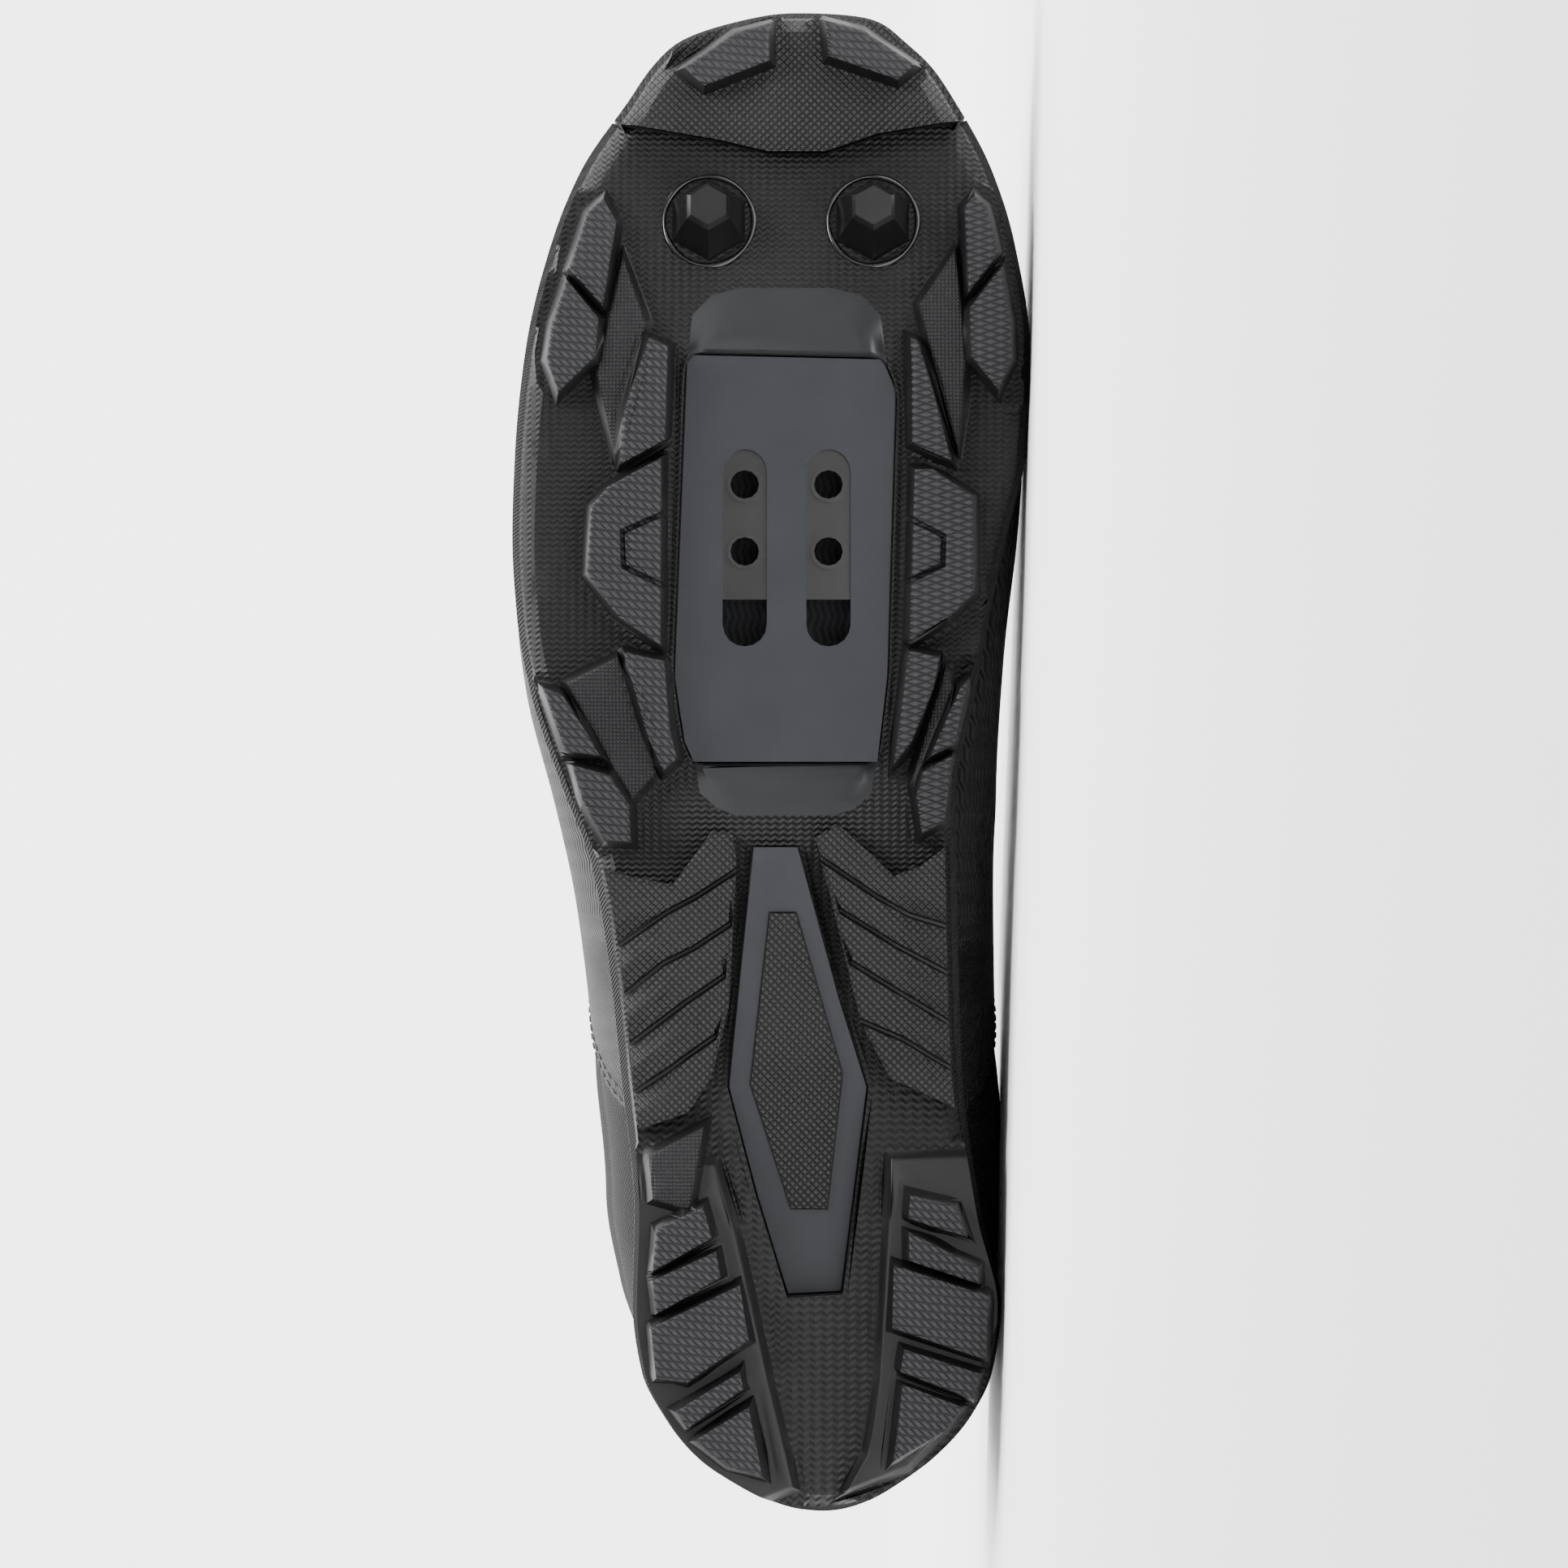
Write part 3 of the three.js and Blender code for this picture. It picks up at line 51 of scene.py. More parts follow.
# Camera: square to the tread as in the photograph, toe up, so that the floor stands at the picture's right.
# The shoe's own frame comes from the nut's slide and from the cleat seat.
CLEAT_SEAT = Vector((162.56, 1.95, 5.8))
PICTURE_MIDDLE = Vector((123.07, 1.5, 5.8))
PICTURE_WIDTH = 0.2621
CAMERA_DISTANCE = 1.3
SENSOR_WIDTH = 36
seat = frame["record"]["mounts"][0]
x_axis = Vector(frame["joints"][0]["axis"]).normalized()
z_axis = -Vector(seat["axis"]).normalized()
y_axis = z_axis.cross(x_axis)


def turned(point):
    """A step in shoe millimetres as a step in row metres."""
    return (x_axis * point[0] + y_axis * point[1] + z_axis * point[2]) / 1000


origin = Vector(seat["pos_m"]) - turned(CLEAT_SEAT)


def row(point):
    """A point in shoe millimetres as a point in row metres."""
    return origin + turned(point)


camera_data = bpy.data.cameras.new("camera")
camera_data.sensor_width = SENSOR_WIDTH
camera_data.lens = SENSOR_WIDTH * CAMERA_DISTANCE / PICTURE_WIDTH
camera_data.clip_start = 0.01
camera = bpy.data.objects.new("camera", camera_data)
bpy.context.collection.objects.link(camera)
turn = Matrix((y_axis, x_axis, -z_axis)).transposed().to_4x4()
camera.matrix_world = Matrix.Translation(row(PICTURE_MIDDLE) - z_axis * CAMERA_DISTANCE) @ turn
bpy.context.scene.camera = camera

# Floor and backdrop: one pale sheet that turns up behind the shoe, under soft studio light from above,
# from the camera's side and from the toe.
FLOOR_HALF = 3.0
BACK_START = 1.2
BACK_TURN = 0.6
BACK_HEIGHT = 2.4
BACK_STEPS = 16
WORLD_STRENGTH = 0.8
FLOOR_COLOUR = "#fafafa"
LIGHTS = [
    {"name": "key", "place": (0.55, -1.0, 1.25), "aim": (0, 0, 0.04), "size": 0.7, "power": 34},
    {"name": "fill", "place": (-0.9, -1.5, 0.4), "aim": (0, 0, 0.04), "size": 1.2, "power": 7},
    {"name": "rim", "place": (1.1, 0.5, 0.9), "aim": (0, 0, 0.04), "size": 0.9, "power": 14},
    {"name": "back", "place": (0, 0.45, 1.7), "aim": (0, 1.8, 0.3), "size": 1.6, "power": 110},
]


def colour(code):
    """Linear colour of an sRGB hex code."""
    parts = [int(code[i : i + 2], 16) / 255 for i in (1, 3, 5)]
    return tuple(c / 12.92 if c <= 0.04045 else ((c + 0.055) / 1.055) ** 2.4 for c in parts) + (1,)


def add(tree, kind, inputs, output=0, **settings):
    """One shader node; inputs are numbers, colours or other nodes' outputs. Gives one of its outputs."""
    node = tree.nodes.new("ShaderNode" + kind)
    for name, value in settings.items():
        setattr(node, name, value)
    for key, value in inputs.items():
        if isinstance(value, bpy.types.NodeSocket):
            tree.links.new(value, node.inputs[key])
        else:
            node.inputs[key].default_value = value
    return node.outputs[output] if node.outputs else None


def fresh_material(name):
    material = bpy.data.materials.new(name)
    material.use_nodes = True
    material.node_tree.nodes.clear()
    return material, material.node_tree


def finish_material(tree, shader):
    add(tree, "OutputMaterial", {"Surface": shader})


rows_back = [(-FLOOR_HALF, 0.0), (BACK_START, 0.0)]
for i in range(1, BACK_STEPS + 1):
    angle = math.pi / 2 * i / BACK_STEPS
    rows_back.append((BACK_START + BACK_TURN * math.sin(angle), BACK_TURN * (1 - math.cos(angle))))
rows_back.append((BACK_START + BACK_TURN, BACK_HEIGHT))
floor_points = [(x, y, z) for y, z in rows_back for x in (-FLOOR_HALF, FLOOR_HALF)]
floor_faces = [(2 * i, 2 * i + 1, 2 * i + 3, 2 * i + 2) for i in range(len(rows_back) - 1)]
floor_mesh = bpy.data.meshes.new("floor")
floor_mesh.from_pydata(floor_points, [], floor_faces)
floor_mesh.shade_smooth()
floor = bpy.data.objects.new("floor", floor_mesh)
bpy.context.collection.objects.link(floor)
material, tree = fresh_material("matt_white_paper")
grain = add(tree, "TexNoise", {"Scale": 900.0, "Detail": 3.0})
bump = add(tree, "Bump", {"Strength": 0.15, "Distance": 0.0002, "Height": grain})
finish_material(
    tree,
    add(tree, "BsdfPrincipled", {"Base Color": colour(FLOOR_COLOUR), "Roughness": 0.9, "Normal": bump}),
)
floor.data.materials.append(material)
for lamp_row in LIGHTS:
    light = bpy.data.lights.new(lamp_row["name"], "AREA")
    light.shape = "DISK"
    light.size = lamp_row["size"]
    light.energy = lamp_row["power"]
    lamp = bpy.data.objects.new(lamp_row["name"], light)
    bpy.context.collection.objects.link(lamp)
    lamp.location = Vector(lamp_row["place"])
    lamp.rotation_euler = (Vector(lamp_row["aim"]) - lamp.location).to_track_quat("-Z", "Y").to_euler()
world = bpy.data.worlds.new("studio")
world.use_nodes = True
world.node_tree.nodes["Background"].inputs["Color"].default_value = colour("#ffffff")
world.node_tree.nodes["Background"].inputs["Strength"].default_value = WORLD_STRENGTH
bpy.context.scene.world = world

# Outsole: moulded rubber with lugs, grooves and a low rim that holds the upper, open at the cleat pocket
# and over the plate's strip. Its tread is one triangulated sheet whose height follows the lugs.
LENGTH = 254
BALL_WIDTH = 87
WAIST_WIDTH = 59
HEEL_WIDTH = 62.5
HEEL_STACK = 22
BALL_STACK = 11.5
TOE_SPRING = 14
ARCH_HEIGHT = 7
LUG_DEPTH = 4.8
HEEL_LUG_DEPTH = 7
RIM_HEIGHT = 12
STRIP_DEPTH = 8.5
LOW_FACE_DROP = 1.9
BUMPER_GAP = 0.6
END_TURN = 1.6
LATERAL = -1
MEDIAL = 1
# Outline from heel to toe: share of the length, width that the row follows, lateral and medial edge as
# shares of that width
OUTLINE = [
    (0, HEEL_WIDTH, -0.13, 0.13), (0.018, HEEL_WIDTH, 0.104, 0.334), (0.037, HEEL_WIDTH, 0.218, 0.438),
    (0.063, HEEL_WIDTH, 0.302, 0.531), (0.093, HEEL_WIDTH, 0.363, 0.589), (0.138, HEEL_WIDTH, 0.387, 0.613),
    (0.199, HEEL_WIDTH, 0.382, 0.558), (0.298, WAIST_WIDTH, 0.446, 0.536), (0.36, WAIST_WIDTH, 0.475, 0.527),
    (0.432, WAIST_WIDTH, 0.527, 0.52), (0.477, WAIST_WIDTH, 0.6, 0.517), (0.546, BALL_WIDTH, 0.474, 0.389),
    (0.594, BALL_WIDTH, 0.499, 0.414), (0.648, BALL_WIDTH, 0.508, 0.448), (0.702, BALL_WIDTH, 0.503, 0.483),
    (0.771, BALL_WIDTH, 0.483, 0.493), (0.844, BALL_WIDTH, 0.433, 0.464), (0.891, BALL_WIDTH, 0.379, 0.423),
    (0.939, BALL_WIDTH, 0.287, 0.351), (0.963, BALL_WIDTH, 0.24, 0.305), (0.979, BALL_WIDTH, 0.192, 0.257),
    (0.996, BALL_WIDTH, 0.049, 0.183), (1, BALL_WIDTH, -0.046, 0.046),
]
# Side view: share of the length, then drop, spring, arch and rim as shares of their heights, widest point and
# ridge as shares of the instep height, roundness of the section, and lean of the ridge
SIDE = [
    (0, 0, 0, 0.4, 1, 0.58, 1.3, 2.3, 0.093), (0.06, 0, 0, 0, 1, 0.58, 1.3, 2.3, 0.088),
    (0.14, 0, 0, 0, 0.98, 0.585, 1.29, 2.3, 0.078), (0.21, 0, 0, 0, 0.85, 0.6, 1.26, 2.2, 0.065),
    (0.26, 0.02, 0, 0.45, 0.68, 0.6, 1.22, 2.1, 0.055), (0.31, 0.07, 0, 0.9, 0.52, 0.59, 1.16, 2, 0.045),
    (0.38, 0.22, 0, 1, 0.45, 0.55, 1.05, 1.9, 0.038), (0.44, 0.4, 0, 0.72, 0.45, 0.49, 0.98, 1.85, 0.035),
    (0.5, 0.62, 0, 0.12, 0.5, 0.42, 0.915, 1.85, 0.033), (0.56, 0.82, 0, 0, 0.55, 0.35, 0.845, 1.9, 0.033),
    (0.65, 1, 0, 0, 0.58, 0.31, 0.745, 2, 0.036), (0.74, 1, 0, 0, 0.6, 0.3, 0.665, 2.1, 0.041),
    (0.8, 1, 0.11, 0, 0.62, 0.31, 0.625, 2.2, 0.045), (0.87, 1, 0.37, 0, 0.7, 0.34, 0.59, 2.2, 0.048),
    (0.93, 1, 0.66, 0, 0.84, 0.39, 0.56, 2.2, 0.048), (0.97, 1, 0.87, 0, 0.9, 0.42, 0.52, 2.2, 0.047),
    (1, 1, 1.05, 0, 0.92, 0.44, 0.44, 2.2, 0.046),
]
SIDE_NAMES = ("drop", "spring", "arch", "rim", "widest", "ridge", "round", "lean")
# Lugs: corners along the length and across, as shares of the length and of the half width there
LUGS = [
    ((0.87, 0.854, 0.798, 0.823, 0.861), (-0.82, -0.73, -0.71, -0.88, -0.87)),
    ((0.816, 0.79, 0.765, 0.741, 0.763, 0.787), (-0.88, -0.72, -0.71, -0.84, -0.9, -0.9)),
    ((0.872, 0.865, 0.833, 0.807, 0.864), (0.86, 0.9, 0.91, 0.76, 0.8)),
    ((0.824, 0.797, 0.765, 0.743, 0.763, 0.787), (0.91, 0.76, 0.76, 0.87, 0.92, 0.92)),
    ((0.777, 0.772, 0.71, 0.694, 0.727), (-0.51, -0.43, -0.41, -0.58, -0.58)),
    ((0.699, 0.679, 0.666, 0.622, 0.594, 0.575), (-0.42, -0.62, -0.68, -0.69, -0.56, -0.39)),
    ((0.571, 0.565, 0.52, 0.501, 0.493, 0.516), (-0.55, -0.38, -0.39, -0.38, -0.46, -0.5)),
    ((0.777, 0.775, 0.751, 0.696, 0.708), (0.52, 0.55, 0.6, 0.71, 0.55)),
    ((0.691, 0.691, 0.673, 0.61, 0.593, 0.577), (0.57, 0.64, 0.82, 0.91, 0.82, 0.67)),
    ((0.572, 0.568, 0.546, 0.511, 0.497, 0.538), (0.67, 0.81, 0.8, 0.74, 0.67, 0.67)),
    ((0.548, 0.543, 0.518, 0.503, 0.506), (-0.93, -0.85, -0.78, -0.75, -0.91)),
    ((0.497, 0.49, 0.47, 0.446, 0.447, 0.473), (-0.9, -0.73, -0.68, -0.74, -0.88, -0.91)),
    ((0.554, 0.548, 0.502, 0.511), (0.95, 0.92, 0.84, 0.95)),
    ((0.504, 0.493, 0.477, 0.452, 0.46), (0.95, 0.82, 0.79, 0.81, 0.93)),
    ((0.193, 0.207, 0.187, 0.165), (-0.86, -0.59, -0.55, -0.88)),
    ((0.178, 0.161, 0.137, 0.159), (-0.53, -0.51, -0.86, -0.88)),
    ((0.156, 0.12, 0.092, 0.095, 0.128), (-0.41, -0.37, -0.73, -0.9, -0.89)),
    ((0.099, 0.088, 0.062, 0.073), (-0.43, -0.42, -0.84, -0.86)),
    ((0.076, 0.03, 0.037, 0.054), (-0.41, -0.49, -0.72, -0.84)),
    ((0.215, 0.208, 0.188, 0.199), (0.6, 0.85, 0.88, 0.57)),
    ((0.191, 0.168, 0.157, 0.172), (0.56, 0.9, 0.88, 0.53)),
    ((0.169, 0.149, 0.107, 0.128), (0.44, 0.92, 0.92, 0.4)),
    ((0.114, 0.098, 0.081, 0.099), (0.47, 0.9, 0.9, 0.46)),
    ((0.091, 0.076, 0.061, 0.04), (0.48, 0.86, 0.83, 0.6)),
]
LOW_LUGS = [
    ((0.832, 0.787, 0.7, 0.754), (-0.67, -0.53, -0.6, -0.7)),
    ((0.836, 0.8, 0.771, 0.704, 0.765), (0.73, 0.56, 0.6, 0.73, 0.74)),
    ((0.551, 0.568, 0.492, 0.474), (-0.82, -0.58, -0.5, -0.66)),
    ((0.559, 0.548, 0.481, 0.488), (0.84, 0.89, 0.78, 0.77)),
    ((0.259, 0.24, 0.212, 0.205), (-0.54, -0.88, -0.88, -0.67)),
]
HEX_GROOVES = [
    ((0.664, 0.65, 0.627, 0.613), (-0.36, -0.55, -0.54, -0.36)),
    ((0.661, 0.647, 0.628, 0.615), (0.56, 0.74, 0.76, 0.6)),
]
# Straight grooves across the lugs, from point to point in millimetres
CROSS_GROOVES = [
    ((177.9, -18.9), (173.9, -27)), ((151.2, -28.8), (144.4, -18)), ((178.8, 22.8), (176, 29.4)),
    ((150.2, 28.2), (146.3, 22.3)), ((208.8, -34.9), (201.8, -28.8)), ((210.9, 37.9), (203.5, 31.8)),
    ((128.1, -35), (126.2, -27.7)), ((126.2, 25.5), (129.6, 32)), ((47.2, -9.6), (41.2, -20.6)),
    ((21.8, -3.4), (14.8, -15.3)), ((50.5, 21.7), (46.4, 32.7)), ((24.8, 20.5), (19.9, 33.4)),
]
# Stepped banks that carry the heel lugs on both sides of the channel, in millimetres
HEEL_BANKS = [
    [
        (60, -27), (59.5, -10), (48.6, -6.8), (37.4, -4.2), (23.5, -1.2), (11.9, 1.6), (5.5, 3), (3, -4),
        (12, -20), (30, -27),
    ],
    [
        (61, 36), (60.5, 19.4), (49.8, 19), (38.5, 18.3), (23.5, 17.4), (11, 15.4), (5, 12), (9, 22),
        (18, 31), (34, 38),
    ],
]
HEEL_BANK_DROP = 4.6
GROOVE_WIDTH = 1.1
GROOVE_DEPTH = 1.6
GROOVE_FLANK = 1.8
POCKET = (
    (0.768, 0.765, 0.744, 0.62, 0.555, 0.498, 0.498, 0.512, 0.555),
    (-0.36, 0.42, 0.48, 0.56, 0.6, 0.6, -0.31, -0.34, -0.35),
)
STRIP = (
    (0.444, 0.364, 0.284, 0.214, 0.146, 0.148, 0.284, 0.343, 0.444),
    (-0.1, -0.25, -0.38, -0.29, -0.16, 0.14, 0.44, 0.31, 0.15),
)
BUMPER_LINE = ((0.927, 0.911, 0.903, 0.903, 0.915, 0.929), (-1.2, -0.37, -0.1, 0.19, 0.47, 1.2))
# Smooth ramps before and behind the pocket, in millimetres
FRONT_RAMP = [
    (191, -15), (201.5, -13.8), (204.8, -10.6), (206, -6), (206, 9.5),
    (204.8, 14.5), (201.5, 17.6), (191, 19),
]
REAR_RAMP = [
    (131, 17.6), (121.6, 16.2), (119, 13.4), (117.8, 10), (117.8, -6.4),
    (119, -9.8), (121.6, -12.6), (131, -14),
]
RAMP_SIDE = 1.8
LIP_WIDTH = 1.2
LIP_DROP = 0.55
POCKET_CORNER = 3.4
RAMP_RISE = 2.4
RING = 480
SHEET_INSET = 1.2
GRID = 3.2
LUG_BEVEL = 0.55
LUG_BEVEL_DROP = 0.3
LUG_WALL = 1.15
LUG_FILLET = 0.9
FILLET_DROP = 0.3
FOOT_BEVEL = 2.8
FOOT_EDGE = 0.6
FOOT_EDGE_RISE = 2.2
LEDGE_DROP = 1.4


def smooth_curve(xs, ys):
    """A smooth curve through the values that keeps flat stretches flat."""
    last = len(xs) - 1
    gaps = [xs[i + 1] - xs[i] for i in range(last)]
    slopes = [(ys[i + 1] - ys[i]) / gaps[i] for i in range(last)]
    tangents = [slopes[0]]
    for i in range(1, last):
        if slopes[i - 1] * slopes[i] <= 0:
            tangents.append(0)
        else:
            before = 2 * gaps[i] + gaps[i - 1]
            after = gaps[i] + 2 * gaps[i - 1]
            tangents.append((before + after) / (before / slopes[i - 1] + after / slopes[i]))
    tangents.append(slopes[-1])

    def curve(x):
        x = min(max(x, xs[0]), xs[-1])
        i = 0
        while i < last - 1 and x > xs[i + 1]:
            i += 1
        t = (x - xs[i]) / gaps[i]
        rise = gaps[i] * (t * (1 - t) ** 2 * tangents[i] - t * t * (1 - t) * tangents[i + 1])
        return ys[i] + (ys[i + 1] - ys[i]) * t * t * (3 - 2 * t) + rise

    return functools.lru_cache(maxsize=None)(curve)


def angle_of(along):
    """The angle that runs evenly round the ends of the outline, from 0 at the heel to pi at the toe."""
    return math.acos(min(max(1 - 2 * along, -1), 1))


def mix(low, high, share):
    return low + (high - low) * share


def share_along(x):
    return min(max(x / LENGTH, 0), 1)


outline_angles = [angle_of(line[0]) for line in OUTLINE]
edges = {
    LATERAL: smooth_curve(outline_angles, [-line[1] * line[2] for line in OUTLINE]),
    MEDIAL: smooth_curve(outline_angles, [line[1] * line[3] for line in OUTLINE]),
}
side_angles = [angle_of(line[0]) for line in SIDE]
side = {name: smooth_curve(side_angles, [line[i + 1] for line in SIDE]) for i, name in enumerate(SIDE_NAMES)}


def side_at(name, along):
    return side[name](angle_of(along))


def floor_height(along):
    return mix(HEEL_STACK, BALL_STACK, side_at("drop", along)) + TOE_SPRING * side_at("spring", along)


def tip_height(along):
    return ARCH_HEIGHT * side_at("arch", along) + TOE_SPRING * side_at("spring", along)


def base_height(along):
    return tip_height(along) + mix(HEEL_LUG_DEPTH, LUG_DEPTH, side_at("drop", along))


def rim_height(along):
    return floor_height(along) + RIM_HEIGHT * side_at("rim", along)


def place(along, across):
    """A point of the plan from shares along and across."""
    lateral = edges[LATERAL](angle_of(along))
    medial = edges[MEDIAL](angle_of(along))
    return (LENGTH * along, (lateral + medial) / 2 + across * (medial - lateral) / 2)


def place_all(shape):
    return [place(along, across) for along, across in zip(*shape)]


def end_share(theta):
    return math.sin(min(math.pi / 2, END_TURN * min(theta, math.pi - theta)))


def ring_place(step, inset):
    """A place on the sole's outline drawn in by inset: share along, x and y. step counts round the ring."""
    which = LATERAL if step <= RING / 2 else MEDIAL
    theta = math.pi * (step if which == LATERAL else RING - step) / (RING / 2)
    along = (1 - math.cos(theta)) / 2
    x = LENGTH * along + inset * ((1 - along) ** 2 - along**2)
    return along, x, edges[which](theta) - which * inset * end_share(theta)


def ring_points(inset):
    return [ring_place(step, inset)[1:] for step in range(RING)]


def signed_area(points):
    return sum(a[0] * b[1] - b[0] * a[1] for a, b in zip(points, points[1:] + points[:1])) / 2


def grown(points, distance):
    """The outline moved outwards by a distance, corners mitred."""
    ordered = points if signed_area(points) > 0 else points[::-1]
    result = []
    for i, point in enumerate(ordered):
        here = Vector(point)
        into = (here - Vector(ordered[i - 1])).normalized()
        out = (Vector(ordered[(i + 1) % len(ordered)]) - here).normalized()
        bisector = Vector((into.y + out.y, -into.x - out.x)).normalized()
        mitre = max(0.5, bisector.x * into.y - bisector.y * into.x)
        result.append(tuple(here + bisector * (distance / mitre)))
    return result


def segment_distance(x, y, a, b):
    return on_segment(x, y, a, b)[0]


def on_segment(x, y, a, b):
    """Distance of a point to a segment, and the nearest place's share of its length."""
    dx, dy = b[0] - a[0], b[1] - a[1]
    t = min(max(((x - a[0]) * dx + (y - a[1]) * dy) / (dx * dx + dy * dy), 0), 1)
    return math.hypot(x - a[0] - t * dx, y - a[1] - t * dy), t


def outline_distance(x, y, points):
    """Distance to a closed outline, negative inside."""
    inside = False
    best = 1e9
    for a, b in zip(points, points[1:] + points[:1]):
        best = min(best, segment_distance(x, y, a, b))
        if (a[1] > y) != (b[1] > y) and x < (b[0] - a[0]) * (y - a[1]) / (b[1] - a[1]) + a[0]:
            inside = not inside
    return -best if inside else best


def line_distance(x, y, points):
    return min(segment_distance(x, y, a, b) for a, b in zip(points, points[1:]))


def with_reach(points, reach):
    """An outline with its bounding box, grown by reach, for quick tests."""
    xs = [p[0] for p in points]
    ys = [p[1] for p in points]
    return points, (min(xs) - reach, max(xs) + reach, min(ys) - reach, max(ys) + reach)


def in_reach(x, y, box):
    return box[0] < x < box[1] and box[2] < y < box[3]


edge_tree = kdtree.KDTree(4 * RING)
for i in range(4 * RING):
    _, x, y = ring_place(i / 4, SHEET_INSET)
    edge_tree.insert((x, y, 0), i)
edge_tree.balance()


def edge_distance(x, y):
    return edge_tree.find((x, y, 0))[2]


def lug_profile(distance, tip, base):
    """Height beside a lug's face: crisp rounded edge, drafted wall, small fillet."""
    if distance <= -LUG_BEVEL:
        return tip
    if distance <= 0:
        return tip + LUG_BEVEL_DROP * ((distance + LUG_BEVEL) / LUG_BEVEL) ** 2
    if distance <= LUG_WALL:
        return mix(tip + LUG_BEVEL_DROP, base - FILLET_DROP, distance / LUG_WALL)
    if distance <= LUG_WALL + LUG_FILLET:
        return mix(base - FILLET_DROP, base, 1 - (1 - (distance - LUG_WALL) / LUG_FILLET) ** 2)
    return base


def block_profile(x, y, along, base):
    """Height of the sole's bottom without lugs: flat, then bevelled up towards its edge."""
    distance = edge_distance(x, y)
    if distance >= FOOT_BEVEL:
        return base
    if distance >= FOOT_EDGE:
        return base + FOOT_BEVEL - distance
    return mix(floor_height(along) - LEDGE_DROP, base + FOOT_EDGE_RISE, distance / FOOT_EDGE)


def sheet_mesh(lines, outlines, keep, height, spacing):
    """A triangulated plan sheet: lines and closed outlines become its edges, height gives each point's z."""
    points = []
    segments = []

    def run(line, closed):
        start = len(points)
        points.extend(Vector(p[:2]) for p in line)
        count = len(line)
        segments.extend((start + i, start + (i + 1) % count) for i in range(count if closed else count - 1))

    for line in outlines:
        run(line, True)
    for line in lines:
        run(line, False)
    xs = [p.x for p in points]
    ys = [p.y for p in points]
    column = 0
    x = min(xs)
    while x < max(xs):
        y = min(ys) + (spacing / 2 if column % 2 else 0)
        while y < max(ys):
            points.append(Vector((x, y)))
            y += spacing
        x += spacing * 0.87
        column += 1
    flat, _, triangles, _, _, _ = delaunay_2d_cdt(points, segments, [], 0, 1e-4, False)
    kept = []
    for a, b, c in triangles:
        x = (flat[a].x + flat[b].x + flat[c].x) / 3
        y = (flat[a].y + flat[b].y + flat[c].y) / 3
        if keep(x, y):
            kept.append((a, b, c))
    used = sorted({i for face in kept for i in face})
    renumber = {old: new for new, old in enumerate(used)}
    vertices = [(flat[i].x, flat[i].y, height(flat[i].x, flat[i].y)) for i in used]
    return vertices, [tuple(renumber[i] for i in face) for face in kept]


def border_loops(faces):
    """The open edges of a sheet, joined to closed loops of vertex numbers."""
    seen = {(a, b) for face in faces for a, b in zip(face, face[1:] + face[:1])}
    following = {}
    for a, b in seen:
        if (b, a) not in seen:
            following.setdefault(a, []).append(b)
    loops = []
    while following:
        start = next(iter(following))
        loop = [start]
        here = start
        while True:
            choices = following[here]
            there = choices.pop()
            if not choices:
                del following[here]
            if there == start:
                break
            loop.append(there)
            here = there
        loops.append(loop)
    return loops


ON_RING = 0.02
ring_edge = ring_points(SHEET_INSET)
ring_tree = kdtree.KDTree(RING)
for i, point in enumerate(ring_edge):
    ring_tree.insert((*point, 0), i)
ring_tree.balance()


def ring_step(x, y):
    """How far round the ring a point lies, or None where it isn't on the ring."""
    _, nearest, _ = ring_tree.find((x, y, 0))
    best = None
    for first in (nearest - 1, nearest):
        distance, t = on_segment(x, y, ring_edge[first % RING], ring_edge[(first + 1) % RING])
        if distance < ON_RING and (best is None or distance < best[0]):
            best = (distance, (first + t) % RING)
    return None if best is None else best[1]


WALL_LEVELS = 11


def wall_column(x, y, z, top):
    """The skin above one border point: the sole's side where the point is on its edge, else a plain wall."""
    step = ring_step(x, y)
    if step is None:
        return [(x, y, mix(z, top(x), min(1, i / 4))) for i in range(1, WALL_LEVELS)]
    along = ring_place(step, 0)[0]
    floor_z = floor_height(along)
    rim_z = rim_height(along)
    profile = [
        (SHEET_INSET, max(z, floor_z - LEDGE_DROP)), (0.1, floor_z - 0.6),
        (0, mix(floor_z - 0.6, rim_z - 1.2, 0.3)), (0, mix(floor_z - 0.6, rim_z - 1.2, 0.7)), (0, rim_z - 1.2), (0.12, rim_z - 0.5), (0.5, rim_z),
        (1.5, rim_z), (1.95, rim_z - 0.5), (4.2, floor_z + 0.2),
    ]
    return [(*ring_place(step, inset)[1:], height) for inset, height in profile]


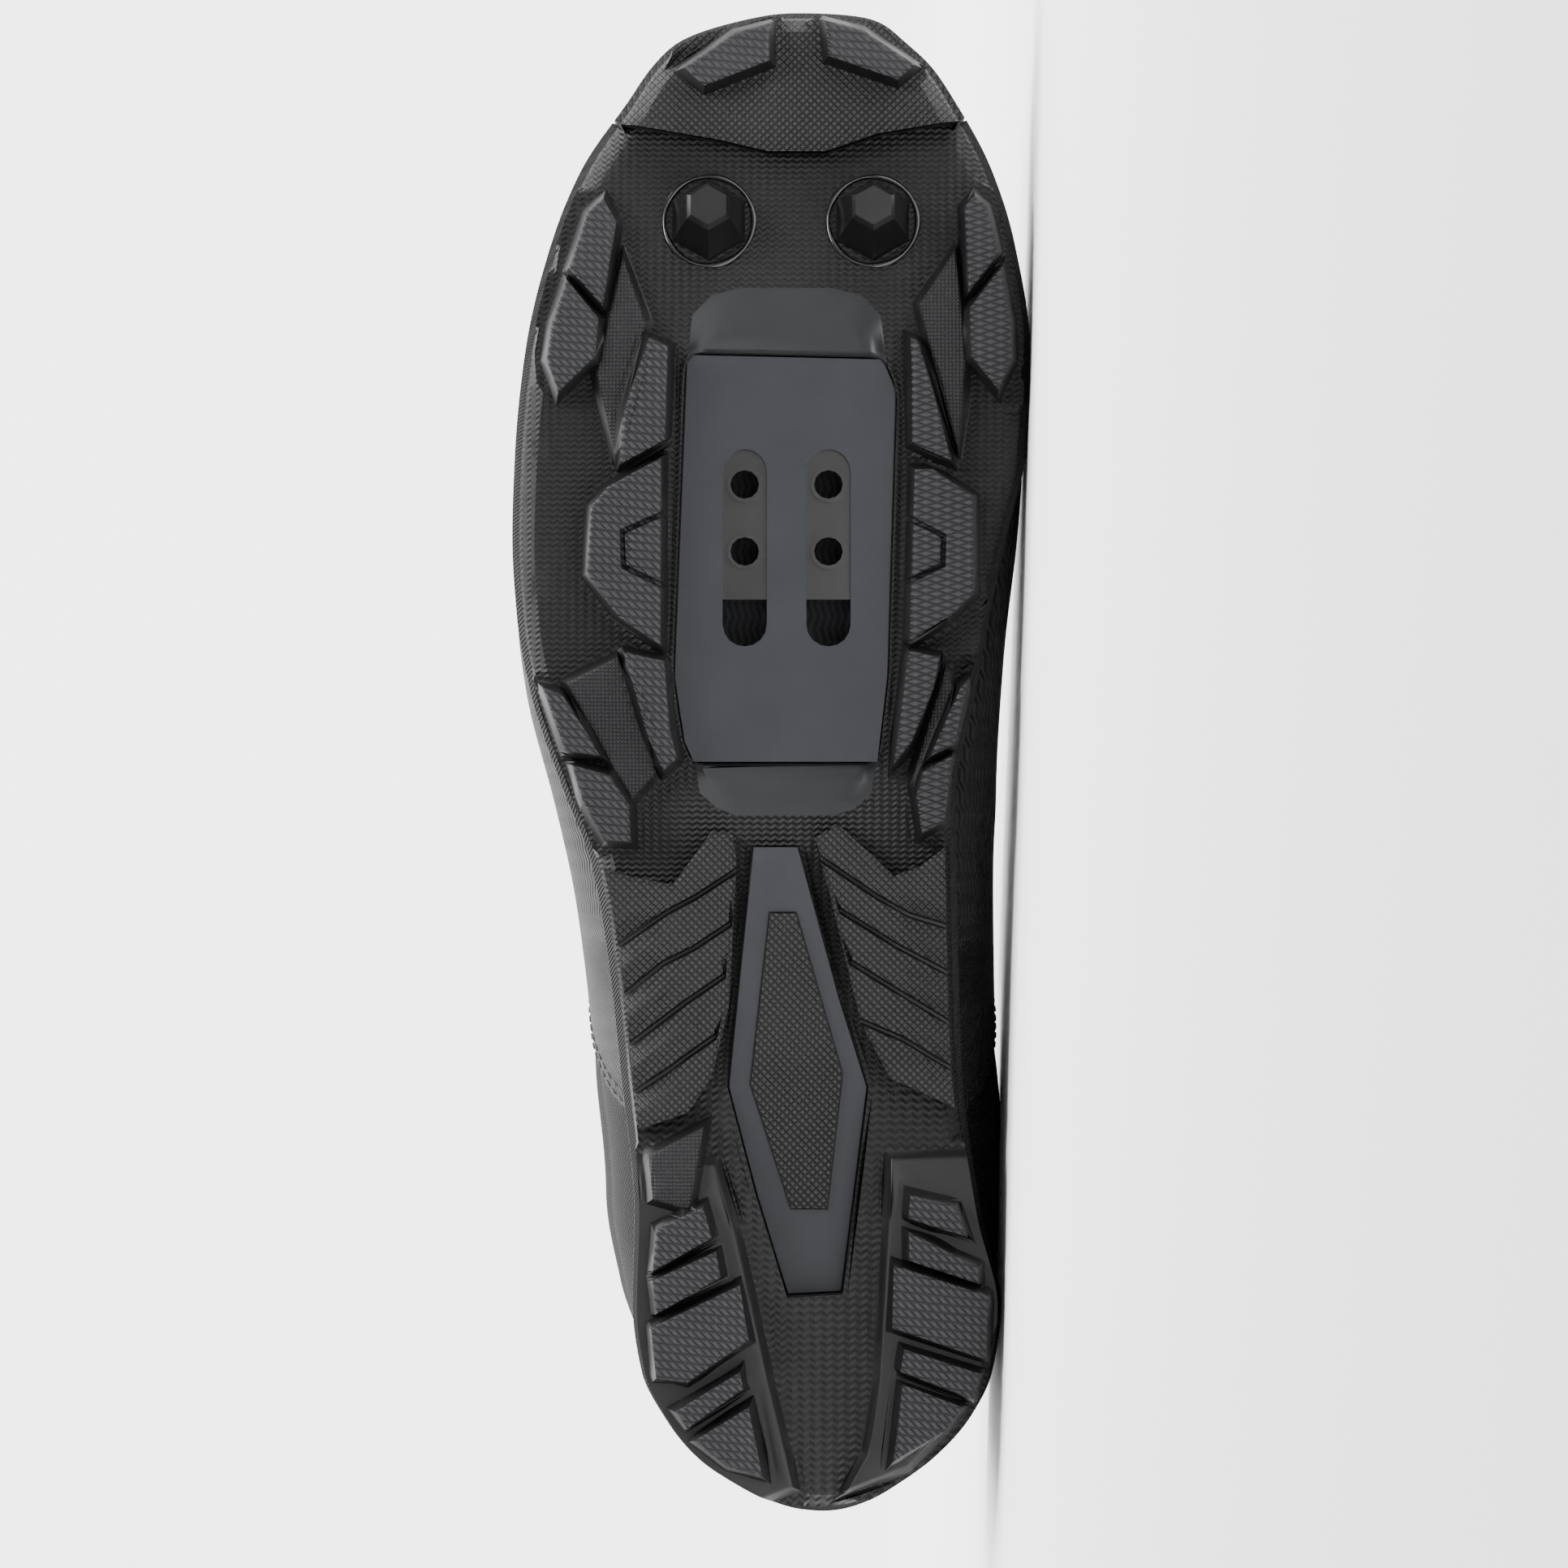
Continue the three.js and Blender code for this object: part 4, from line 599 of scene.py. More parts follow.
def shell_mesh(vertices, faces, zone_of, top, wall_zone):
    """Adds the walls round a tread sheet. Gives points, faces, corner coordinates in mm and zones."""
    points = list(vertices)
    all_faces = []
    coordinates = []
    zones = []
    for face in faces:
        middle = [sum(vertices[i][k] for i in face) / 3 for k in range(2)]
        all_faces.append(face)
        coordinates.append([(vertices[i][0], vertices[i][1]) for i in face])
        zones.append(zone_of(*middle))
    for loop in border_loops(faces):
        travelled = 0.0
        columns = []
        for i, vertex in enumerate(loop):
            x, y, z = vertices[vertex]
            if i:
                before = vertices[loop[i - 1]]
                travelled += math.hypot(x - before[0], y - before[1])
            above = wall_column(x, y, z, top)
            numbers = [vertex]
            for point in above:
                numbers.append(len(points))
                points.append(point)
            columns.append((numbers, travelled, ring_step(x, y) is not None))
        first = vertices[loop[0]]
        last = vertices[loop[-1]]
        total = travelled + math.hypot(first[0] - last[0], first[1] - last[1])
        for i, (numbers, start, on_ring) in enumerate(columns):
            others, end, other_on_ring = columns[(i + 1) % len(columns)]
            if i + 1 == len(columns):
                end = total
            heights = [points[n][2] for n in numbers]
            other_heights = [points[n][2] for n in others]
            for k in range(WALL_LEVELS - 1):
                all_faces.append((numbers[k + 1], others[k + 1], others[k], numbers[k]))
                coordinates.append([
                    (start, heights[k + 1]), (end, other_heights[k + 1]),
                    (end, other_heights[k]), (start, heights[k]),
                ])
                zones.append(wall_zone if on_ring and other_on_ring and k > 0 else "wall")
    return points, all_faces, coordinates, zones


def make_object(name, points, faces, coordinates, zones, materials, smooth_angle=38):
    """A mesh object from points in shoe millimetres; materials is a dict from zone to material."""
    mesh = bpy.data.meshes.new(name)
    mesh.from_pydata([row(p) for p in points], [], faces)
    layer = mesh.uv_layers.new(name="millimetres")
    layer.data.foreach_set("uv", [value for face in coordinates for corner in face for value in corner])
    order = list(materials)
    for zone in order:
        mesh.materials.append(materials[zone])
    mesh.polygons.foreach_set("material_index", [order.index(zone) for zone in zones])
    mesh.validate()
    outward = bmesh.new()
    outward.from_mesh(mesh)
    bmesh.ops.recalc_face_normals(outward, faces=outward.faces)
    outward.to_mesh(mesh)
    outward.free()
    mesh.update()
    mesh.shade_smooth()
    mesh.set_sharp_from_angle(angle=math.radians(smooth_angle))
    piece = bpy.data.objects.new(name, mesh)
    bpy.context.collection.objects.link(piece)
    return piece


def weld(piece, distance=1e-6):
    """Joins doubled points and drops faces without area."""
    modifier = piece.modifiers.new("weld", "WELD")
    modifier.merge_threshold = distance


def calc(tree, operation, a, b=0.0):
    return add(tree, "Math", {0: a, 1: b}, operation=operation)


def blend(tree, factor, low, high):
    """A colour between two colours."""
    sockets = {"Factor": factor, 6: low, 7: high}
    return add(tree, "Mix", sockets, output=2, data_type="RGBA", clamp_factor=True)


def choose(tree, factor, low, high):
    """A value between two values."""
    return add(tree, "Mix", {"Factor": factor, 2: low, 3: high}, data_type="FLOAT")


def ripple(tree, value, pitch):
    """A triangle wave from 0 to 1 with the given pitch."""
    return calc(tree, "MULTIPLY", calc(tree, "PINGPONG", calc(tree, "DIVIDE", value, pitch), 0.5), 2.0)


def pattern_height(tree, kind, along, across, pitch):
    """Height from 0 to 1 of a moulded or woven texture over two coordinates in millimetres."""
    if kind == "zigzag":
        bend = calc(tree, "MULTIPLY", ripple(tree, across, pitch * 1.5), pitch * 0.42)
        return ripple(tree, calc(tree, "ADD", along, bend), pitch)
    if kind == "waves":
        bend = calc(tree, "MULTIPLY", ripple(tree, along, pitch * 3.6), pitch * 0.55)
        return ripple(tree, calc(tree, "ADD", across, bend), pitch)
    if kind in ("diamonds", "bricks", "slanted bricks"):
        stretch = {"diamonds": 1.0, "bricks": 0.34, "slanted bricks": 0.5}[kind]
        lean = 0.6 if kind == "slanted bricks" else 0.0
        moved = calc(tree, "ADD", along, calc(tree, "MULTIPLY", across, lean))
        flat = calc(tree, "MULTIPLY", across, stretch)
        one = ripple(tree, calc(tree, "ADD", moved, flat), pitch * 1.4)
        other = ripple(tree, calc(tree, "SUBTRACT", moved, flat), pitch * 1.4)
        low = calc(tree, "MINIMUM", one, other)
        return calc(tree, "MINIMUM", calc(tree, "MULTIPLY", low, 2.2), 1.0)
    if kind == "dots":
        low = calc(tree, "MINIMUM", ripple(tree, along, pitch), ripple(tree, across, pitch))
        return calc(tree, "MINIMUM", calc(tree, "MULTIPLY", low, 1.8), 1.0)
    if kind == "weave":
        over = ripple(tree, calc(tree, "ADD", along, calc(tree, "MULTIPLY", across, 1.4)), pitch)
        under = ripple(tree, across, pitch * 1.3)
        return calc(tree, "ADD", calc(tree, "MULTIPLY", over, 0.7), calc(tree, "MULTIPLY", under, 0.3))
    return 0.5


def surface(
    name, low, high, kind, pitch, depth, rough, sheen=0.0, coat=0.0, metal=0.0, gloss=0.3, from_object=False
):
    """A material whose moulded or woven texture has a pitch and a depth in mm, with soft wear and dust, and with
    painted shade that darkens the texture's hollows.
    """
    material, tree = fresh_material(name)
    if from_object:
        vector = add(tree, "TexCoord", {}, output="Object")
        vector = add(tree, "Mapping", {"Vector": vector, "Scale": (1000, 1000, 1000)})
        x, y, z = [add(tree, "SeparateXYZ", {"Vector": vector}, output=i) for i in range(3)]
        along, across = x, calc(tree, "MULTIPLY", z, -1.0)
    else:
        vector = add(tree, "UVMap", {}, uv_map="millimetres")
        along, across = [add(tree, "SeparateXYZ", {"Vector": vector}, output=i) for i in range(2)]
    height = pattern_height(tree, kind, along, across, pitch)
    mottle = add(tree, "TexNoise", {"Vector": vector, "Scale": 0.09, "Detail": 4.0, "Roughness": 0.6})
    grit = add(tree, "TexNoise", {"Vector": vector, "Scale": 3.5, "Detail": 2.0})
    # Colour follows the relief: the texture's hollows are painted darker than its ridges (painted shade), and the
    # mottle and grit add random tone.
    painted_groove_shade_and_mottle = calc(tree, "MULTIPLY", height, 0.75)
    painted_groove_shade_and_mottle = calc(tree, "ADD", painted_groove_shade_and_mottle, calc(tree, "MULTIPLY", calc(tree, "SUBTRACT", mottle, 0.5), 0.5))
    painted_groove_shade_and_mottle = calc(tree, "ADD", painted_groove_shade_and_mottle, calc(tree, "MULTIPLY", calc(tree, "SUBTRACT", grit, 0.5), 0.25))
    tint = blend(tree, painted_groove_shade_and_mottle, colour(low), colour(high))
    relief = calc(tree, "ADD", height, calc(tree, "MULTIPLY", grit, 0.12))
    bump = add(tree, "Bump", {"Strength": 1.0, "Distance": depth / 1000, "Height": relief})
    roughness = calc(tree, "ADD", calc(tree, "MULTIPLY", mottle, 0.16), rough - 0.08)
    shader = add(
        tree,
        "BsdfPrincipled",
        {
            "Base Color": tint, "Roughness": roughness, "Normal": bump, "Sheen Weight": sheen,
            "Coat Weight": coat, "Metallic": metal, "Specular IOR Level": gloss,
        },
    )
    finish_material(tree, shader)
    return material


def rounded(points, radius, steps=5):
    """A closed outline with its corners rounded."""
    result = []
    for i, point in enumerate(points):
        here = Vector(point)
        before = Vector(points[i - 1])
        after = Vector(points[(i + 1) % len(points)])
        cut = min(radius, 0.45 * (here - before).length, 0.45 * (after - here).length)
        start = here + (before - here).normalized() * cut
        end = here + (after - here).normalized() * cut
        for k in range(steps + 1):
            t = k / steps
            result.append(tuple(start * (1 - t) ** 2 + here * 2 * t * (1 - t) + end * t**2))
    return result


pocket_outline = rounded(place_all(POCKET), POCKET_CORNER)
strip_outline = place_all(STRIP)
bumper_line = place_all(BUMPER_LINE)
bumper_back_line = [(x - BUMPER_GAP, y) for x, y in bumper_line]
REACH = LUG_WALL + LUG_FILLET + 0.1
high_lugs = [(*with_reach(place_all(shape), REACH), 0.0) for shape in LUGS]
low_lugs = [(*with_reach(place_all(shape), REACH), LOW_FACE_DROP) for shape in LOW_LUGS]
banks = [(*with_reach(points, REACH), HEEL_BANK_DROP) for points in HEEL_BANKS]
outsole_lugs = high_lugs + low_lugs
groove_lines = [place_all(shape) for shape in HEX_GROOVES] + [list(line) for line in CROSS_GROOVES]
grooves = [with_reach(line, GROOVE_WIDTH) for line in groove_lines]


def ahead_of(line, x, y):
    """Whether a point lies in front of a line that crosses the sole."""
    ys = [p[1] for p in line]
    xs = [p[0] for p in line]
    return x > float(np.interp(y, ys, xs))


def ramp_rise(x, y):
    """How far the smooth ramps sink towards the pocket."""
    front = -outline_distance(x, y, FRONT_RAMP)
    rear = -outline_distance(x, y, REAR_RAMP)
    if front > 0:
        return RAMP_RISE * min(1, (FRONT_RAMP[3][0] - x) / 9) * min(1, front / RAMP_SIDE)
    if rear > 0:
        return RAMP_RISE * min(1, (x - REAR_RAMP[3][0]) / 8) * min(1, rear / RAMP_SIDE)
    return 0.0


def tread_height(x, y, shapes, cuts):
    along = share_along(x)
    base = base_height(along)
    tip = tip_height(along)
    z = block_profile(x, y, along, base) + ramp_rise(x, y)
    lip = outline_distance(x, y, pocket_outline) / LIP_WIDTH
    if 0 <= lip < 1:
        z -= LIP_DROP * math.sin(math.pi * min(1, lip + 0.25)) ** 0.8
    for points, box, drop in shapes:
        if in_reach(x, y, box):
            z = min(z, lug_profile(outline_distance(x, y, points), tip + drop, base))
    if z < base:
        for line, box in cuts:
            if in_reach(x, y, box):
                away = line_distance(x, y, line) / (GROOVE_WIDTH / 2)
                if away < 1:
                    z = max(z, tip + GROOVE_DEPTH * min(1, GROOVE_FLANK * (1 - away)))
    return z


def beside(line, distance):
    """The two lines at a distance on both sides of a line."""
    left = []
    right = []
    for i, point in enumerate(line):
        ahead = Vector(line[min(len(line) - 1, i + 1)])
        behind = Vector(line[max(0, i - 1)])
        across = (ahead - behind).normalized()
        aside = Vector((-across.y, across.x)) * distance
        left.append(tuple(Vector(point) + aside))
        right.append(tuple(Vector(point) - aside))
    return left, right


def lug_lines(shapes):
    """The bends of every lug: its bevel, its wall and its fillet."""
    fillet = LUG_WALL + LUG_FILLET
    distances = (-LUG_BEVEL, -LUG_BEVEL / 2, 0, LUG_WALL, LUG_WALL + LUG_FILLET / 2, fillet)
    return [grown(points, distance) for points, _, _ in shapes for distance in distances]


def groove_sides(cuts):
    lines = []
    for line, _ in cuts:
        lines.extend(beside(line, GROOVE_WIDTH / 2))
        lines.extend(beside(line, GROOVE_WIDTH / 5))
    return lines


def inside_sole(x, y):
    return outline_distance(x, y, ring_edge) < 0


def outsole_zone(x, y):
    for points, box, drop in outsole_lugs:
        if in_reach(x, y, box):
            distance = outline_distance(x, y, points)
            if distance < 0:
                if drop:
                    return "panel"
                return "lateral" if y < 2 or x < 70 else "medial"
            if distance < LUG_WALL:
                return "wall"
    if outline_distance(x, y, FRONT_RAMP) < 0 or outline_distance(x, y, REAR_RAMP) < 0:
        return "ramp"
    for points, box, _ in banks:
        if in_reach(x, y, box) and outline_distance(x, y, points) < LUG_WALL:
            return "wall"
    return "heel" if x < 72 else "field"


def window_top(x):
    """Top of the walls round the windows: above the strip, and lower round the cleat pocket."""
    height = floor_height(share_along(x)) - STRIP_DEPTH + 2.5
    return min(8.5, height) if x > 115 else height


RUBBER = {
    "field": surface("moulded_rubber_zigzag", "#0a0a0a", "#212123", "zigzag", 0.97, 0.42, 0.62),
    "heel": surface("moulded_rubber_coarse_zigzag", "#0a0a0a", "#212123", "zigzag", 1.28, 0.46, 0.62),
    "lateral": surface(
        "moulded_rubber_slanted_bricks", "#0d0d0f", "#2a2a2d", "slanted bricks", 1.0, 0.22, 0.58
    ),
    "medial": surface("moulded_rubber_bricks", "#0d0d0f", "#2a2a2d", "bricks", 0.87, 0.22, 0.58),
    # Lug walls, groove floors and the walls round the windows take a darker rubber than the tread: painted shade
    # where these faces sit in hollows.
    "wall": surface("moulded_rubber_plain_painted_shade", "#050506", "#141416", "plain", 1.0, 0.05, 0.5),
    "panel": surface("moulded_rubber_dots", "#07070a", "#1e1e20", "dots", 0.63, 0.16, 0.6),
    "ramp": surface("moulded_rubber_polished", "#0c0d0f", "#1b1d20", "plain", 1.0, 0.03, 0.42),
    "side": surface("moulded_rubber_fine_weave", "#08080a", "#1e1e20", "weave", 0.6, 0.16, 0.62),
    "diamond": surface("moulded_rubber_diamonds", "#0c0c0d", "#252527", "diamonds", 0.95, 0.26, 0.6),
}

vertices, faces = sheet_mesh(
    [bumper_back_line, *groove_sides(grooves)],
    [
        ring_edge, ring_points(1.8), ring_points(4), pocket_outline,
        *[grown(pocket_outline, distance) for distance in (0.35, 0.8, LIP_WIDTH)],
        strip_outline, grown(strip_outline, 0.8), FRONT_RAMP, REAR_RAMP, *lug_lines(outsole_lugs + banks),
    ],
    lambda x, y: inside_sole(x, y)
    and not ahead_of(bumper_back_line, x, y)
    and outline_distance(x, y, pocket_outline) > 0
    and outline_distance(x, y, strip_outline) > 0,
    lambda x, y: tread_height(x, y, outsole_lugs + banks, grooves),
    GRID,
)
points, faces, coordinates, zones = shell_mesh(vertices, faces, outsole_zone, window_top, "side")
outsole = make_object("outsole_rubber", points, faces, coordinates, zones, RUBBER)
weld(outsole)
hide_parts("outsole")
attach(outsole, "shoe")

# Toe bumper: separate rubber cap in front of the groove line, diamond texture, two bent lugs.
TOE_LUGS = [
    ((0.988, 0.963, 0.946, 0.958, 0.982), (-0.32, -0.16, -0.55, -0.74, -0.53)),
    ((0.99, 0.966, 0.95, 0.96, 0.984), (0.27, 0.27, 0.68, 0.85, 0.64)),
]
toe_lugs = [(*with_reach(place_all(shape), REACH), 0.0) for shape in TOE_LUGS]


def bumper_zone(x, y):
    for points, box, _ in toe_lugs:
        if in_reach(x, y, box):
            distance = outline_distance(x, y, points)
            if distance < 0:
                return "lateral"
            if distance < LUG_WALL:
                return "wall"
    return "diamond"


vertices, faces = sheet_mesh(
    [bumper_line],
    [ring_edge, ring_points(1.8), ring_points(4), *lug_lines(toe_lugs)],
    lambda x, y: inside_sole(x, y) and ahead_of(bumper_line, x, y),
    lambda x, y: tread_height(x, y, toe_lugs, []),
    GRID,
)
points, faces, coordinates, zones = shell_mesh(
    vertices, faces, bumper_zone, lambda x: floor_height(x / LENGTH) + 1, "diamond"
)
bumper = make_object("toe_bumper_rubber", points, faces, coordinates, zones, RUBBER)
weld(bumper)
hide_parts("toe_bumper")
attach(bumper, "shoe")

# Arch wings: two ribbed rubber pads under the waist, one on each side of the strip, crosshatched, with
# narrow curved grooves and a faceted outer edge.
WING_THICKNESS = 3.4
CLEARANCE = 0.3
WINGS = {
    "lateral": (
        (0.442, 0.426, 0.418, 0.453, 0.451, 0.434, 0.338, 0.292, 0.268, 0.25),
        (-1.1, -0.88, -0.57, -0.3, -0.19, -0.2, -0.33, -0.46, -0.62, -1.1),
    ),
    "medial": (
        (0.449, 0.457, 0.424, 0.43, 0.459, 0.262, 0.29, 0.327, 0.411),
        (0.24, 0.38, 0.65, 0.79, 1.1, 1.1, 0.57, 0.42, 0.29),
    ),
}
WING_GROOVES = [
    ((0.428, 0.41, 0.4, 0.368), (-0.2, -0.45, -0.62, -1.05)),
    ((0.392, 0.376, 0.366, 0.334), (-0.28, -0.5, -0.68, -1.05)),
    ((0.358, 0.34, 0.302), (-0.34, -0.58, -1.05)),
    ((0.318, 0.298, 0.272), (-0.42, -0.68, -1.05)),
    ((0.436, 0.41, 0.398, 0.386), (0.25, 0.55, 0.72, 1.05)),
    ((0.401, 0.378, 0.352), (0.34, 0.64, 1.05)),
    ((0.367, 0.346, 0.318), (0.38, 0.66, 1.05)),
    ((0.329, 0.316, 0.288), (0.4, 0.66, 1.05)),
]
WING_INSET = 2.2
BUMP_START = 0.58
wing_grooves = [with_reach(place_all(shape), 12) for shape in WING_GROOVES]


def share_across(x, y):
    along = share_along(x)
    lateral = edges[LATERAL](angle_of(along))
    medial = edges[MEDIAL](angle_of(along))
    return (y - (lateral + medial) / 2) / ((medial - lateral) / 2)


def wing_height(outline):
    def height(x, y):
        along = x / LENGTH
        face = base_height(along) - CLEARANCE - WING_THICKNESS
        inside = -outline_distance(x, y, outline)
        z = face + 0.5 * max(0, 1 - inside / 0.7) ** 2
        away = min([line_distance(x, y, line) for line, box in wing_grooves if in_reach(x, y, box)] or [12])
        outboard = min(1, max(0, (abs(share_across(x, y)) - BUMP_START) / 0.16))
        z += outboard * (1.5 - 1.9 * min(1, away / 3.2))
        if away < GROOVE_WIDTH / 2:
            z = max(z, face + GROOVE_DEPTH * min(1, GROOVE_FLANK * (1 - away / (GROOVE_WIDTH / 2))))
        return z

    return height


for name, shape in WINGS.items():
    outline = place_all(shape)
    clear = [points for points, _, _ in outsole_lugs]
    height = wing_height(outline)
    vertices, faces = sheet_mesh(
        groove_sides(wing_grooves) + [line for cut, _ in wing_grooves for line in beside(cut, 3.2)],
        [
            outline, grown(outline, -0.7), ring_points(WING_INSET),
            *[grown(points, LUG_WALL + 0.2) for points in clear],
        ],
        lambda x, y: outline_distance(x, y, outline) < 0
        and inside_sole(x, y)
        and edge_distance(x, y) > WING_INSET - SHEET_INSET
        and all(outline_distance(x, y, points) > LUG_WALL + 0.19 for points in clear),
        height,
        2.0,
    )
    points, faces, coordinates, zones = shell_mesh(
        vertices,
        faces,
        lambda x, y: "wall" if any(
            in_reach(x, y, box) and line_distance(x, y, line) < GROOVE_WIDTH / 2 for line, box in wing_grooves
        ) else "diamond",
        lambda x: base_height(x / LENGTH) + CLEARANCE,
        "wall",
    )
    wing = make_object("arch_wing_" + name + "_rubber", points, faces, coordinates, zones, RUBBER, 30)
    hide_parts("arch_wing_" + name)
    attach(wing, "shoe")

# Sole plate: one moulded nylon piece whose pocket floor and strip show through the sole, carried over from
# the CAD with softened edges.


def soften(name, width, segments, material):
    """Keeps a CAD node: rounds its sharp edges in mm and gives it a material."""
    node = nodes[name]
    bevel = node.modifiers.new("soft_edges", "BEVEL")
    bevel.width = width / 1000
    bevel.segments = segments
    bevel.limit_method = "ANGLE"
    bevel.angle_limit = math.radians(35)
    bevel.harden_normals = False
    node.data.materials.clear()
    node.data.materials.append(material)
    return node


soften(
    "sole_plate", 0.45, 3,
    surface(
        "moulded_nylon_satin", "#131519", "#23252b", "plain", 1.0, 0.03, 0.36, coat=0.15, from_object=True
    ),
)

# Cleat nut: blackened steel plate with four threaded bosses, which slides above the slots.
soften(
    "cleat_nut", 0.25, 2,
    surface(
        "blackened_steel", "#050506", "#101012", "plain", 1.0, 0.02, 0.2,
        coat=0.8, metal=0.3, gloss=0.6, from_object=True,
    ),
)

# Tread badge: bare rubber island on the strip with a diamond texture.
soften(
    "tread_badge", 0.6, 4,
    surface("moulded_rubber_badge", "#0b0b0c", "#242425", "diamonds", 0.95, 0.24, 0.6, from_object=True),
)

# Toe studs: two six-sided screw-in studs of hard black plastic, each in a glossy ring where it meets the
# tread.
STUD_SEATS = {"toe_stud_lateral": -0.33, "toe_stud_medial": 0.39}
STUD_ALONG = 0.856
SEAT_RING_RADIUS = 7.55
SEAT_RING_TUBE = 0.42
STEPS_ROUND = 72
STEPS_TUBE = 10
stud_plastic = surface(
    "moulded_black_plastic", "#040405", "#111112", "plain", 1.0, 0.03, 0.3, coat=0.2, from_object=True
)
bead_rubber = surface("moulded_rubber_glossy", "#040404", "#0c0c0e", "plain", 1.0, 0.06, 0.16, coat=0.6)


def one_material(name, points, faces, material, coordinates=None):
    """An object of one material, whose texture follows x and y where no coordinates are given."""
    coordinates = coordinates or [[points[i][:2] for i in face] for face in faces]
    return make_object(name, points, faces, coordinates, ["all"] * len(faces), {"all": material}, 60)


for name, across in STUD_SEATS.items():
    soften(name, 0.35, 3, stud_plastic)
    centre_x, centre_y = place(STUD_ALONG, across)
    slope = (base_height(STUD_ALONG + 0.01) - base_height(STUD_ALONG - 0.01)) / (0.02 * LENGTH)
    points = []
    for i in range(STEPS_ROUND):
        angle = 2 * math.pi * i / STEPS_ROUND
        for j in range(STEPS_TUBE):
            around = 2 * math.pi * j / STEPS_TUBE
            radius = SEAT_RING_RADIUS + SEAT_RING_TUBE * math.cos(around) * (1 + 0.25 * math.sin(5 * angle))
            dx = radius * math.cos(angle)
            z = base_height(STUD_ALONG) + slope * dx + SEAT_RING_TUBE * math.sin(around)
            points.append((centre_x + dx, centre_y + radius * math.sin(angle), z))
    faces = []
    coordinates = []
    for i in range(STEPS_ROUND):
        for j in range(STEPS_TUBE):
            a, b = i * STEPS_TUBE, ((i + 1) % STEPS_ROUND) * STEPS_TUBE
            k = (j + 1) % STEPS_TUBE
            faces.append((a + j, b + j, b + k, a + k))
            coordinates.append([(i, j), (i + 1, j), (i + 1, j + 1), (i, j + 1)])
    ring = one_material(name + "_seat_ring", points, faces, bead_rubber, coordinates)
    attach(ring, "shoe")

# Upper: one curved shell of ridged synthetic in front and dotted knit at the heel, lined with mesh, with a
# padded collar, a smooth stay round the throat and punched eyelets.
INSTEP_HEIGHT = 88
COLLAR_HEIGHT = 80
HEEL_LEAN = 20
UPPER_WALL = 1.8
PANEL_STEP = 0.8
RIM_WALL = 2
FEATHER_INSET = 4.6
LIP_LEVEL = 0.15
WIDEST_LEVEL = 0.4
SWELL = [
    (0, -0.02, -0.02), (0.09, 0, -0.01), (0.138, 0.032, -0.005), (0.2, 0.073, 0.066), (0.3, 0.072, 0.097),
    (0.432, 0.064, 0.103), (0.477, 0.034, 0.112), (0.546, 0.006, 0.066), (0.648, -0.02, 0.022),
    (0.702, -0.03, -0.015), (0.8, -0.034, -0.03), (1, -0.034, -0.034),
]
TOPLINE = [(-0.1, 1.05), (0.02, 1.03), (0.1, 0.98), (0.19, 0.88), (0.27, 0.87), (0.34, 0.96), (0.4, 1.1)]
SEAM = [(0.245, 0.3), (0.275, 0.48), (0.33, 0.72), (0.375, 1.1)]
THROAT_BACK = 0.33
THROAT_FRONT = 0.735
THROAT_BACK_HALF = 12
THROAT_FRONT_HALF = 8
STAY_WIDTH = 13.5
STAY_STEP = 0.5
PAD_REACH = 17
PAD_OUT = 1.6
PAD_IN = 2.6
EYELET_PAIRS = 6
EYELET_RADIUS = 2.2
EYELET_FROM_EDGE = 7
LACING_FRONT = 0.7
LACING_BACK = 0.43
LOW_ROWS = 5
HIGH_ROWS = 44

swell_angles = [angle_of(line[0]) for line in SWELL]
swells = {
    LATERAL: smooth_curve(swell_angles, [line[1] for line in SWELL]),
    MEDIAL: smooth_curve(swell_angles, [line[2] for line in SWELL]),
}
topline = smooth_curve([LENGTH * a for a, _ in TOPLINE], [COLLAR_HEIGHT * h for _, h in TOPLINE])
seam_line = [(LENGTH * a, COLLAR_HEIGHT * h) for a, h in SEAM]


def form_point(which, theta, level):
    """A point of the foot form: theta from heel to toe, level from the sole up to the ridge."""
    along = (1 - math.cos(theta)) / 2
    near = end_share(theta)
    edge = edges[which](theta)
    lip = rim_height(along)
    widest = max(INSTEP_HEIGHT * side_at("widest", along), lip + CLEARANCE)
    lip_inset = RIM_WALL + CLEARANCE
    swell = edge + which * near * WAIST_WIDTH * swells[which](theta)
    back = front = lip_inset
    if level < LIP_LEVEL:
        t = level / LIP_LEVEL
        back = front = mix(FEATHER_INSET, lip_inset, t)
        y = edge - which * mix(FEATHER_INSET, lip_inset, t) * near
        z = mix(floor_height(along) + CLEARANCE, lip, t)
    elif level < WIDEST_LEVEL:
        t = (level - LIP_LEVEL) / (WIDEST_LEVEL - LIP_LEVEL)
        y = mix(edge - which * lip_inset * near, swell, t * (2 - t))
        z = mix(lip, widest, t)
    else:
        turn_up = (level - WIDEST_LEVEL) / (1 - WIDEST_LEVEL) * math.pi / 2
        power = 2 / side_at("round", along)
        centre = (edges[LATERAL](theta) + edges[MEDIAL](theta)) / 2
        middle = mix(centre, BALL_WIDTH * side_at("lean", along), near)
        y = middle + (swell - middle) * max(0, math.cos(turn_up)) ** power
        z = mix(widest, max(widest, INSTEP_HEIGHT * side_at("ridge", along)), math.sin(turn_up) ** power)
        back = lip_inset + HEEL_LEAN * math.sin(turn_up) ** 2
    return (LENGTH * along + back * (1 - along) ** 2 - front * along**2, y, z)


